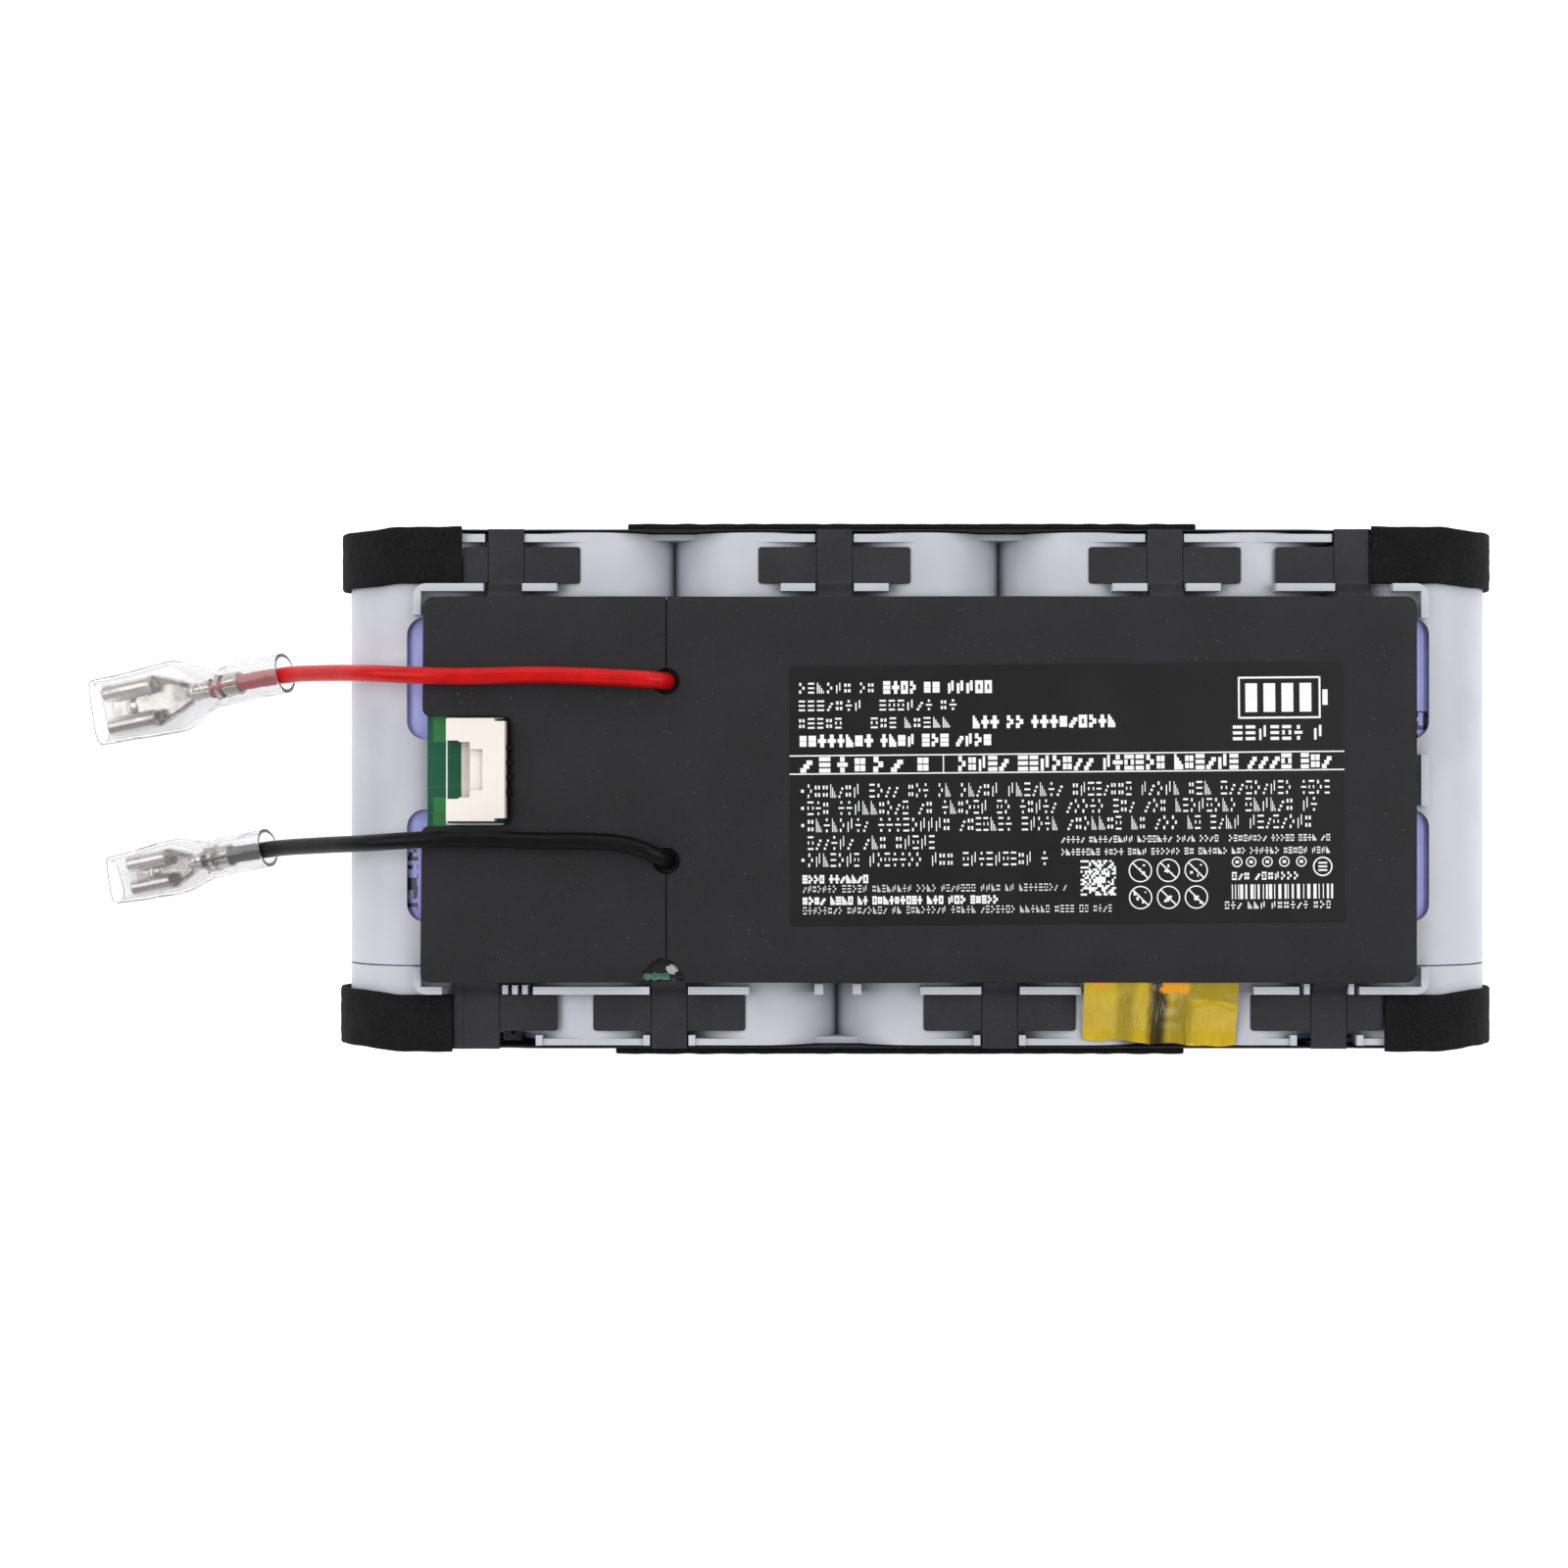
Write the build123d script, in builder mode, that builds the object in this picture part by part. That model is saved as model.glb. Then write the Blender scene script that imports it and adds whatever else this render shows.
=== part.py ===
from build123d import *
import math
import os

os.makedirs("parts", exist_ok=True)

# Seven-cell lithium-ion battery pack in a fluted plastic holder, with a protection board,
# a signal header and two power leads that end in sleeved push-on terminals.
# It lies on its back: +X along the row of cells, +Y along the cells, +Z up to the board.
# The origin is the middle of the pack, on the surface that it rests on. Millimetres.

# ---------------------------------------------------------------- cells and holder
cell_count = 7
can_diameter = 20.96
cell_length = 70.2
wrap_thickness = 0.1
wrap_gap = 0.02
cap_radius = 4.6
cap_height = 0.5
crimp_depth = 0.7
crimp_length = 1.6
crimp_from_end = 5.2
ring_thickness = 0.3
ring_margin = 0.4
bore_clearance = 0.1
bore_web = 1.2
tube_wall = 0.95
cap_length = 10.8
split_gap = 0.2
foam_thickness = 0.9
window_width = 5.0
window_upper = 16.7
window_lower = 15.4
window_upper_offset = 15.15
window_lower_offset = 10.5
window_right_shift = -0.6

wrap_inner = can_diameter / 2 + wrap_gap
wrap_outer = wrap_inner + wrap_thickness
bore_radius = wrap_outer + bore_clearance
cell_pitch = 2 * bore_radius + bore_web
tube_radius = bore_radius + tube_wall
axis_z = foam_thickness + tube_radius
crest_z = axis_z + tube_radius
half_cell = cell_length / 2
cell_axes = [(i - (cell_count - 1) / 2) * cell_pitch for i in range(cell_count)]
valleys = [x + cell_pitch / 2 for x in cell_axes[:-1]]
end_axis = cell_axes[-1]
split_y = -half_cell + cap_length + split_gap

# ---------------------------------------------------------------- board, cover and header
end_band = 8.6
cover_overhang = 0.7
cover_thickness = 0.3
cover_left_reach = 0.1
cover_right_back = 0.9
cover_corner = 1.2
board_gap = 0.5
board_thickness = 1.6
part_height = 1.1
board_corner = 1.0
transistor_size = (5.2, 6.0)
transistor_grid = (8.5, 7.5, 3, 2)
transistor_place = (-8.0, -10.0)
sense_size = (3.2, 6.4)
sense_place = (-24.0, 6.0)
sense_height = 0.8
chip_side = 7.0
chip_place = (20.0, -4.0)
chip_edge = 0.2
resistor_size = (1.6, 0.8)
resistor_height = 0.5
cover_space = 1.4
wall_thickness = 1.05
wall_gap = 0.45
wall_rise = 2.3
wall_corner = 1.8
side_gap = 0.3
rear_rib_left_leg = 4.3
rear_rib_right_leg = 4.9
rear_rib_side_leg = 4.7
front_rib_leg = 3.9
side_stop = (-2.3, 4.7)
rest_width = 3.0
rest_length = 4.0
rest_inset = 4.5
rest_forward = 6.0
header_length = 7.9
header_width = 13.9
header_height = 4.3
header_wall = 0.8
header_block = 3.0
header_front_step = 1.7
header_lip_back = 1.5
header_ridge_depth = 0.5
header_ridge_length = 1.7
header_ridge_width = 5.5
header_left = -64.2
header_centre_y = 2.6
pin_count = 4
pin_pitch = 2.0
pin_size = 0.5
pin_reach = 4.0
pin_tail = 0.7
notch_margin = 0.3
notch_corner = 1.0
label_length = 75.5
label_width = 35.3
label_thickness = 0.08
label_centre = (19.75, -0.65)

cover_half = half_cell - end_band
board_half = cover_half - cover_overhang
cover_left = -end_axis - cover_left_reach
cover_right = end_axis - cover_right_back
board_left = cover_left + cover_overhang
board_right = cover_right - cover_overhang
board_bottom = crest_z + board_gap
board_top = board_bottom + board_thickness
cover_bottom = board_top + cover_space
cover_top = cover_bottom + cover_thickness
wall_inner = cover_half + wall_gap
wall_outer = wall_inner + wall_thickness
wall_top = crest_z + wall_rise
wall_side = end_axis + wall_thickness + side_gap
header_right = header_left + header_length
header_top = board_top + header_height

# ---------------------------------------------------------------- nickel, papers and foam
nickel_thickness = 0.2
strip_width = 8.0
strip_reach = 4.2
tab_width = 4.0
tab_landing = 1.8
tab_shift = -0.45
last_tab_offset = 2.5
first_tab_offset = -3.5
last_front_offset = -0.9
link_corner = 1.5
land_inset = 0.3
ramp_lift = 0.1
insulator_thickness = 0.25
insulator_bar = 4.9
insulator_margin = 1.8
insulator_wing = 5.0
insulator_corner = 0.4
wing_from_end = 2.0
slot_width = 5.3
rail_thickness = 1.1
rail_inset = 0.2
ledge_thickness = 0.9
post_width = 0.9
post_rise = 0.4
low_web_width = 6.0
low_web_drop = 3.5
guide_lug = 4.7
last_rear_lug = 8.0
long_lug = 8.3
last_front_lug = 6.2
first_lug_start = 3.7
first_slot_reach = 3.9
last_slot_reach = (-5.0, 3.2)
slim_post = 0.75
slim_post_gap = 0.2
slim_post_drop = 0.2
valley_lug = 1.2
valley_lug_places = (-3.2, 2.0)
valley_lug_drop = 0.3
inner_step = 0.4
snap_gap = 0.3
snap_pitch = 1.35
snap_tooth = 0.75
snap_drop = 0.6
rail_web = 0.6
ledge_step = 0.5
paper_thickness = 0.25
paper_margin = 0.4
end_foam_length = 78.2
end_foam_height = 19.0
end_foam_thickness = 0.95
end_foam_shift = {"rear": -1.05, "front": -2.7}
foam_overhang = 0.8
foam_gap = 0.1
foam_reach = {"rear_left": 5.1, "rear_right": 6.15, "front_left": 3.8, "front_right": 4.3}

insulator_span = cell_pitch - insulator_margin
nickel_outer = half_cell + nickel_thickness
paper_outer = nickel_outer + paper_thickness
wing_outer = half_cell - wing_from_end
wing_inner = wing_outer - insulator_wing
rear_tabs = [valleys[0] + tab_shift, valleys[2] + tab_shift, valleys[4] + tab_shift]
rear_tabs.append(valleys[5] + last_tab_offset)
front_tabs = [valleys[0] + first_tab_offset]
front_tabs += [valleys[1] + tab_shift, valleys[3] + tab_shift, valleys[5] + last_front_offset]
rear_spans = [(0, 1), (2, 3), (4, 5), (6, 6)]
front_spans = [(0, 0), (1, 2), (3, 4), (5, 6)]

# ---------------------------------------------------------------- leads and terminals
lead_diameter = 2.3
lead_hole = 3.9
slit_width = 0.2
sleeve_wall = 0.25
sleeve_tilt = 22.0
floor_gap = 0.05
lead_turn_in = 1.0

positive_hole = (-34.6, 14.6)
positive_rear = (-88.7, 16.25)
positive_front = (-117.6, 10.9)
positive_sleeve_size = {"neck": 4.5, "wide": 8.9, "neck_length": 13.6, "taper": 4.0}
positive_lead_in = 11.8
positive_receptacle = {"tab": 6.3, "width": 7.4, "length": 8.2, "height": 2.6}
positive_route = [
    (*positive_hole, board_top),
    (-34.6, 14.6, 29.5),
    (-36.9, 14.75, 31.2),
    (-41.0, 15.0, 31.0),
    (-46.9, 15.3, 30.6),
    (-53.7, 15.4, 30.7),
    (-61.2, 15.15, 31.0),
    (-68.4, 15.3, 30.8),
    (-75.4, 15.75, 27.4),
    (-81.6, 16.0, 21.4),
]

negative_hole = (-34.6, -9.8)
negative_rear = (-91.5, -8.3)
negative_front = (-115.3, -13.2)
negative_sleeve_size = {"neck": 4.2, "wide": 6.6, "neck_length": 12.4, "taper": 3.0}
negative_lead_in = 10.5
negative_receptacle = {"tab": 4.8, "width": 5.8, "length": 6.6, "height": 2.4}
negative_route = [
    (*negative_hole, board_top),
    (-34.6, -9.8, 29.4),
    (-36.6, -8.5, 31.1),
    (-40.4, -7.25, 30.9),
    (-45.9, -6.95, 30.5),
    (-53.0, -7.0, 30.6),
    (-60.4, -6.6, 30.9),
    (-68.4, -6.85, 30.7),
    (-75.6, -7.4, 27.3),
    (-82.2, -7.75, 21.2),
]

# ---------------------------------------------------------------- thermistor and tape
thermistor_valley = 4
bead_radius = 1.2
bead_length = 2.9
bead_from_end = 1.0
bead_drop = 2.6
bead_rounding = 0.4
sensor_lead_diameter = 0.7
sensor_lead_spacing = 1.3
sensor_lead_spread = 0.76
tape_thickness = 0.08
tape_margin = 0.8
tape_shift = -0.9
tape_end_gap = 0.3


def save(builder, label):
    """Label the finished piece and write it to the parts folder."""
    builder.part.label = label
    export_step(builder.part, f"parts/{label}.step")


def end_plane(side, distance):
    """Plane facing along Y, at a distance from the middle on the +Y (1) or -Y (-1) side."""
    return Plane.XZ.offset(-side * distance)


# ================================================================ holder
# The two halves of the holder share one fluted section: seven tubes side by side.
def fluted_block(y_low, y_high):
    """Fill the holder's outer section between two places along Y."""
    with BuildSketch(Plane.XZ.offset(-y_high)) as tubes:
        with Locations([(x, axis_z) for x in cell_axes]):
            Circle(tube_radius)
    extrude(tubes.sketch, amount=y_high - y_low)


def cut_bores(y_low, y_high):
    """Bore the seven round cell seats through a half of the holder."""
    with BuildSketch(Plane.XZ.offset(-y_high)) as bores:
        with Locations([(x, axis_z) for x in cell_axes]):
            Circle(bore_radius)
    extrude(bores.sketch, amount=y_high - y_low, mode=Mode.SUBTRACT)


def add_box(x_low, x_high, y_low, y_high, z_low, z_high, mode=Mode.ADD):
    """Add or cut a plain block between two corners."""
    with Locations((x_low, y_low, z_low)):
        size = (x_high - x_low, y_high - y_low, z_high - z_low)
        Box(*size, align=(Align.MIN, Align.MIN, Align.MIN), mode=mode)


def corner_rib(side_x, side_y, long_leg, side_leg):
    """L-shaped stretch of the board's surround at a corner, rounded on its outside."""
    outer_x = side_x * wall_side
    outer_y = side_y * wall_outer
    inner_x = outer_x - side_x * wall_thickness
    inner_y = outer_y - side_y * wall_thickness
    with BuildSketch(Plane.XY.offset(axis_z)) as outline:
        with BuildLine():
            Polyline(
                (outer_x, outer_y - side_y * side_leg),
                (outer_x, outer_y),
                (outer_x - side_x * long_leg, outer_y),
                (outer_x - side_x * long_leg, inner_y),
                (inner_x, inner_y),
                (inner_x, outer_y - side_y * side_leg),
                close=True,
            )
        make_face()
        tip = outline.vertices().sort_by_distance((outer_x, outer_y, axis_z))[0]
        fillet(tip, wall_corner)
    extrude(outline.sketch, amount=wall_top - axis_z)


half_slot = slot_width / 2
tab_floor = axis_z + tube_wall * 4
rear_slots = [(tab - half_slot, tab + half_slot) for tab in rear_tabs]
front_slots = [(tab - half_slot, tab + half_slot) for tab in front_tabs]
front_slots[0] = (front_slots[0][0], valleys[0] + first_slot_reach)
front_slots[-1] = (valleys[-1] + last_slot_reach[0], valleys[-1] + last_slot_reach[1])

with BuildPart() as holder_main:
    fluted_block(split_y, half_cell)
    # Lugs of the board's surround, one on each side of every tab slot on the +Y side
    for left, right in rear_slots[:-1]:
        add_box(left - guide_lug, left, wall_inner, wall_outer, axis_z, wall_top)
        add_box(right, right + guide_lug, wall_inner, wall_outer, axis_z, wall_top)
    last_left = rear_slots[-1][0]
    add_box(last_left - last_rear_lug, last_left, wall_inner, wall_outer, axis_z, wall_top)
    corner_rib(-1, 1, wall_side + rear_slots[0][0], rear_rib_left_leg)
    corner_rib(1, 1, rear_rib_right_leg, rear_rib_side_leg)
    # Stop beside the board, half way along its right edge
    add_box(wall_side - wall_thickness, wall_side, *side_stop, axis_z, wall_top)
    # End rail that closes each valley with a tab, up to the crest of the tubes
    rail_outer = half_cell - rail_inset
    rail_inner = rail_outer - rail_thickness
    for valley in (0, 2, 4, 5):
        left = cell_axes[valley]
        add_box(left, left + cell_pitch, rail_inner, rail_outer, axis_z, crest_z)
    for left, right in rear_slots:
        add_box(left, right, rail_inner, rail_outer, tab_floor, wall_top, Mode.SUBTRACT)
    # Low web in the valleys without a tab
    for valley in (1, 3):
        x = valleys[valley]
        half_web = low_web_width / 2
        add_box(x - half_web, x + half_web, rail_outer - rail_web, half_cell, axis_z, crest_z - low_web_drop)
    # Pads on the crests, which carry the board
    for x in cell_axes[1:-1]:
        for y in (board_half - rest_inset, rest_forward - (split_y + board_half) / 2, split_y + rest_length):
            add_box(
                x - rest_width / 2,
                x + rest_width / 2,
                y - rest_length / 2,
                y + rest_length / 2,
                axis_z,
                board_bottom,
            )
    cut_bores(split_y, half_cell)
    # Sight windows along the crests of the two end cells
    with BuildSketch(Plane.XY.offset(axis_z)):
        for x in (-end_axis, end_axis + window_right_shift):
            with Locations((x, window_upper_offset)):
                SlotOverall(window_upper, window_width, rotation=90)
            with Locations((x, -window_lower_offset)):
                SlotOverall(window_lower, window_width, rotation=90)
    extrude(amount=tube_radius + wall_rise, mode=Mode.SUBTRACT)
save(holder_main, "holder_main")

with BuildPart() as holder_end_cap:
    fluted_block(-half_cell, split_y - split_gap)
    # Surround of the board on the -Y side
    low_y = -wall_outer
    high_y = -wall_inner
    runs = [(valleys[0] + first_lug_start, front_slots[1][0])]
    runs.append((front_slots[1][1], front_slots[1][1] + long_lug))
    runs.append((front_slots[2][0] - long_lug, front_slots[2][0]))
    runs.append((front_slots[2][1], front_slots[2][1] + long_lug))
    runs.append((front_slots[3][0] - last_front_lug, front_slots[3][0]))
    for left, right in runs:
        add_box(left, right, low_y, high_y, axis_z, wall_top)
    side_leg = wall_outer + split_y - split_gap
    corner_rib(-1, -1, front_rib_leg, side_leg)
    corner_rib(1, -1, wall_side - front_slots[3][1], side_leg)
    # Slim lugs beside the open valley, beside the last tab and at the snap by the first one
    for place in valley_lug_places:
        x = valleys[2] + place
        add_box(x, x + valley_lug, low_y, high_y + inner_step, axis_z, wall_top - valley_lug_drop)
    post_reach = insulator_bar / 2 + slim_post_gap
    for x in (front_tabs[3] - post_reach - slim_post, front_tabs[3] + post_reach):
        add_box(x, x + slim_post, low_y, high_y + inner_step, axis_z, wall_top - slim_post_drop)
    snap_left = front_tabs[0] + half_slot + snap_gap
    for step in range(3):
        x = snap_left + step * snap_pitch
        top = wall_top - snap_drop * (1 - 0.5 * (step % 2))
        add_box(x, x + snap_tooth, low_y, high_y + inner_step / 2, axis_z, top)
    # Ledge across the end, with a slot and two slim posts for each tab
    ledge_outer = -half_cell
    ledge_inner = ledge_outer + ledge_thickness
    for valley in (0, 1, 3, 5):
        left = cell_axes[valley]
        add_box(left, left + cell_pitch, ledge_outer, ledge_inner, axis_z, crest_z)
    post_inner = ledge_inner + ledge_step
    for left, right in front_slots:
        add_box(right, right + post_width, ledge_outer, post_inner, axis_z, crest_z + post_rise)
    for left, right in front_slots[1:]:
        add_box(left - post_width, left, ledge_outer, post_inner, axis_z, crest_z + post_rise)
    for left, right in front_slots:
        add_box(left, right, ledge_outer, post_inner, tab_floor, wall_top, Mode.SUBTRACT)
    for valley in (2, 4):
        x = valleys[valley]
        half_web = low_web_width / 2
        add_box(x - half_web, x + half_web, ledge_outer, ledge_inner, axis_z, crest_z - low_web_drop)
    cut_bores(-half_cell, split_y - split_gap)
save(holder_end_cap, "holder_end_cap")

# ================================================================ cells
# Neighbours point opposite ways, so that links at alternate ends join them in series.
for index, x in enumerate(cell_axes):
    side = 1 if index % 2 else -1
    can_radius = can_diameter / 2
    with BuildPart() as cell:
        with BuildSketch(end_plane(-side, half_cell)):
            with Locations((x, axis_z)):
                Circle(can_radius)
        extrude(amount=-side * (cell_length - cap_height))
        fillet(cell.edges().filter_by(GeomType.CIRCLE), 0.6)
        with BuildSketch(end_plane(side, half_cell - cap_height)):
            with Locations((x, axis_z)):
                Circle(cap_radius)
        extrude(amount=-side * cap_height)
        with BuildSketch(end_plane(side, half_cell - crimp_from_end)):
            with Locations((x, axis_z)):
                Circle(can_radius + 1.0)
                Circle(can_radius - crimp_depth, mode=Mode.SUBTRACT)
        extrude(amount=side * crimp_length, mode=Mode.SUBTRACT)
    save(cell, f"cell_{index + 1}")

    with BuildPart() as cell_wrap:
        with BuildSketch(end_plane(-side, half_cell - 0.6)):
            with Locations((x, axis_z)):
                Circle(wrap_outer)
                Circle(wrap_inner, mode=Mode.SUBTRACT)
        extrude(amount=-side * (cell_length - cap_height - 1.2))
    save(cell_wrap, f"cell_wrap_{index + 1}")

with BuildPart() as cell_insulator_rings:
    for index, x in enumerate(cell_axes):
        side = 1 if index % 2 else -1
        with BuildSketch(end_plane(side, half_cell - cap_height)):
            with Locations((x, axis_z)):
                Circle(can_diameter / 2 - ring_margin)
                Circle(cap_radius + ring_margin, mode=Mode.SUBTRACT)
        extrude(amount=-side * ring_thickness)
save(cell_insulator_rings, "cell_insulator_rings")


# ================================================================ nickel links
def nickel_link(side, span, tab):
    """Strip welded over one or two cell ends, with a tab that folds over onto the board."""
    left = cell_axes[span[0]] - strip_reach
    right = cell_axes[span[1]] + strip_reach
    left = min(left, tab - tab_width / 2)
    right = max(right, tab + tab_width / 2)
    tab_top = crest_z
    tab_low = crest_z - nickel_thickness
    land_top = board_top + nickel_thickness
    ramp_out = wing_inner
    ramp_in = cover_half - land_inset
    land_end = board_half - tab_landing
    with BuildPart() as link:
        with BuildSketch(end_plane(side, half_cell)):
            with Locations(((left + right) / 2, axis_z)):
                RectangleRounded(right - left, strip_width, link_corner)
        extrude(amount=-side * nickel_thickness)
        with BuildSketch(Plane.YZ.offset(tab - tab_width / 2)):
            with BuildLine():
                Polyline(
                    (side * nickel_outer, axis_z),
                    (side * nickel_outer, tab_top),
                    (side * ramp_out, tab_top),
                    (side * ramp_in, land_top),
                    (side * land_end, land_top),
                    (side * land_end, board_top),
                    (side * (ramp_in - ramp_lift), board_top),
                    (side * (ramp_out - ramp_lift), tab_low),
                    (side * half_cell, tab_low),
                    (side * half_cell, axis_z),
                    close=True,
                )
            make_face()
        extrude(amount=tab_width)
    return link


def tab_insulator(side, tab):
    """Cross of insulating paper: a bar over the tab, and two wings over the valley."""
    low = crest_z
    high = crest_z + insulator_thickness
    land_low = board_top + nickel_thickness
    land_high = land_low + insulator_thickness
    ramp_out = wing_inner
    ramp_in = cover_half - land_inset
    rise = insulator_thickness / 2
    land_end = board_half - tab_landing + 0.6
    corner = "rear" if side > 0 else "front"
    left_stop = -end_axis + foam_reach[corner + "_left"] + foam_gap
    right_stop = end_axis - foam_reach[corner + "_right"] - foam_gap
    left = max(tab - insulator_span / 2, left_stop)
    right = min(tab + insulator_span / 2, right_stop)
    with BuildPart() as cross:
        with BuildSketch(Plane.YZ.offset(tab - insulator_bar / 2)):
            with BuildLine():
                Polyline(
                    (side * paper_outer, low),
                    (side * paper_outer, high),
                    (side * (ramp_out + rise), high),
                    (side * (ramp_in + rise), land_high),
                    (side * land_end, land_high),
                    (side * land_end, land_low),
                    (side * ramp_in, land_low),
                    (side * ramp_out, low),
                    close=True,
                )
            make_face()
        extrude(amount=insulator_bar)
        with BuildSketch(Plane.XY.offset(low)) as wings:
            with Locations(((left + right) / 2, side * (wing_inner + wing_outer) / 2)):
                Rectangle(right - left, insulator_wing)
            fillet(wings.vertices(), min(insulator_corner, (right_stop - tab) / 8))
        extrude(amount=insulator_thickness)
    return cross


for side, word, spans, tabs in ((1, "rear", rear_spans, rear_tabs), (-1, "front", front_spans, front_tabs)):
    for span, tab in zip(spans, tabs):
        cells = f"{span[0] + 1}" if span[0] == span[1] else f"{span[0] + 1}_{span[1] + 1}"
        kind = "tab" if span[0] == span[1] else "link"
        save(nickel_link(side, span, tab), f"{word}_{kind}_{cells}")
        save(tab_insulator(side, tab), f"{word}_tab_insulator_{cells}")


# ================================================================ end papers and foam
for side, word in ((1, "rear"), (-1, "front")):
    with BuildPart() as end_paper:
        with BuildSketch(end_plane(side, nickel_outer)):
            with Locations((0, axis_z)):
                paper_height = 2 * (tube_radius - paper_margin)
                RectangleRounded(2 * end_axis + paper_height, paper_height, paper_height / 2 - 0.05)
        extrude(amount=-side * paper_thickness)
    save(end_paper, f"{word}_end_paper")

    with BuildPart() as end_foam:
        with BuildSketch(end_plane(side, paper_outer)):
            with Locations((end_foam_shift[word], axis_z)):
                Rectangle(end_foam_length, end_foam_height)
        extrude(amount=-side * end_foam_thickness)
    save(end_foam, f"{word}_end_foam")

for corner, reach in foam_reach.items():
    side_y = 1 if corner.startswith("rear") else -1
    side_x = 1 if corner.endswith("right") else -1
    foam_radius = tube_radius + foam_thickness
    foam_low = wall_outer + foam_gap
    foam_high = half_cell + foam_overhang
    inward = -side_x
    with BuildPart() as corner_foam:
        with BuildSketch(end_plane(side_y, foam_low)):
            with Locations((side_x * end_axis, axis_z)):
                Circle(foam_radius)
                with Locations((inward * reach / 2, 0)):
                    Rectangle(reach, 2 * foam_radius)
                Circle(tube_radius, mode=Mode.SUBTRACT)
                with Locations((inward * reach / 2, 0)):
                    Rectangle(reach, 2 * tube_radius, mode=Mode.SUBTRACT)
                with Locations((inward * (reach + foam_radius), 0)):
                    Rectangle(2 * foam_radius, 3 * foam_radius, mode=Mode.SUBTRACT)
        extrude(amount=-side_y * (foam_high - foam_low))
    save(corner_foam, f"{corner}_corner_foam")

# ================================================================ board and what is on it
with BuildPart() as circuit_board:
    with BuildSketch(Plane.XY.offset(board_bottom)):
        with Locations(((board_left + board_right) / 2, 0)):
            RectangleRounded(board_right - board_left, 2 * board_half, board_corner)
    extrude(amount=board_thickness)
save(circuit_board, "circuit_board")

with BuildPart() as power_transistors:
    with BuildSketch(Plane.XY.offset(board_top)):
        with Locations((transistor_place[0], board_half + transistor_place[1])):
            with GridLocations(*transistor_grid):
                RectangleRounded(*transistor_size, chip_edge)
    extrude(amount=part_height)
save(power_transistors, "power_transistors")

with BuildPart() as sense_resistor:
    with BuildSketch(Plane.XY.offset(board_top)):
        with Locations(sense_place):
            Rectangle(*sense_size)
    extrude(amount=sense_height)
save(sense_resistor, "sense_resistor")

with BuildPart() as control_chip:
    with BuildSketch(Plane.XY.offset(board_top)):
        with Locations(chip_place):
            Rectangle(chip_side, chip_side)
    extrude(amount=part_height)
    chamfer(control_chip.faces().sort_by(Axis.Z)[-1].edges(), chip_edge)
save(control_chip, "control_chip")

with BuildPart() as chip_resistors:
    with BuildSketch(Plane.XY.offset(board_top)):
        with Locations((20.0, 8.0)):
            with GridLocations(3.2, 2.6, 6, 2):
                Rectangle(*resistor_size)
        with Locations((-50.0, 1.0)):
            with GridLocations(2.4, 4.0, 1, 3):
                Rectangle(*resistor_size)
    extrude(amount=resistor_height)
save(chip_resistors, "chip_resistors")

# Side-entry header: two end blocks stand forward, and the socket between them opens to -X
header_low = header_centre_y - header_width / 2
header_high = header_centre_y + header_width / 2
socket_low = header_low + header_block
socket_high = header_high - header_block
body_front = header_left + header_front_step
lip_front = body_front + header_lip_back
socket_floor = board_top + header_wall
socket_roof = header_top - header_wall
socket_back = header_right - header_wall
pin_z = (socket_floor + socket_roof) / 2
pin_rows = [header_centre_y + (i - (pin_count - 1) / 2) * pin_pitch for i in range(pin_count)]

with BuildPart() as header_housing:
    add_box(header_left, header_right, header_low, header_high, board_top, header_top)
    vertical = header_housing.edges().filter_by(Axis.Z)
    fillet(vertical, 0.3)
    add_box(header_left - 1, body_front, socket_low, socket_high, board_top, header_top, Mode.SUBTRACT)
    add_box(
        header_left - 1, socket_back, socket_low + 0.2, socket_high - 0.2, socket_floor, socket_roof,
        Mode.SUBTRACT,
    )
    add_box(
        header_left - 1, lip_front, socket_low + 0.2, socket_high - 0.2, socket_floor, header_top,
        Mode.SUBTRACT,
    )
    # Recess behind the lip for the plug's latch, and the trimmed ends of the two blocks
    latch_low = header_centre_y - header_ridge_width / 2
    latch_high = header_centre_y + header_ridge_width / 2
    latch_floor = header_top - header_ridge_depth
    latch_back = lip_front + header_ridge_length
    add_box(lip_front, latch_back, latch_low, latch_high, latch_floor, header_top, Mode.SUBTRACT)
    for low_edge, high_edge in ((header_low, header_low + 0.4), (header_high - 0.4, header_high)):
        add_box(header_right - 1.4, header_right, low_edge, high_edge, board_top, header_top, Mode.SUBTRACT)
    for y in pin_rows:
        add_box(
            socket_back - 1, header_right + 1, y - pin_size / 2, y + pin_size / 2,
            pin_z - pin_size / 2, pin_z + pin_size / 2, Mode.SUBTRACT,
        )
save(header_housing, "header_housing")

with BuildPart() as header_pins:
    for y in pin_rows:
        with BuildSketch(Plane.XZ.offset(-(y + pin_size / 2))):
            with BuildLine():
                Polyline(
                    (header_right - pin_reach - header_wall, pin_z - pin_size / 2),
                    (header_right - pin_reach - header_wall, pin_z + pin_size / 2),
                    (header_right + pin_tail, pin_z + pin_size / 2),
                    (header_right + pin_tail, board_top),
                    (header_right + 0.2, board_top),
                    (header_right + 0.2, pin_z - pin_size / 2),
                    close=True,
                )
            make_face()
        extrude(amount=pin_size)
save(header_pins, "header_pins")

with BuildPart() as adhesive_dab:
    with BuildSketch(Plane.XY.offset(board_top)):
        with Locations((positive_hole[0] - 0.9, -board_half + 2.9)):
            Ellipse(1.9, 0.85)
    extrude(amount=0.8)
    fillet(adhesive_dab.faces().sort_by(Axis.Z)[-1].edges(), 0.25)
save(adhesive_dab, "adhesive_dab")

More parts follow.
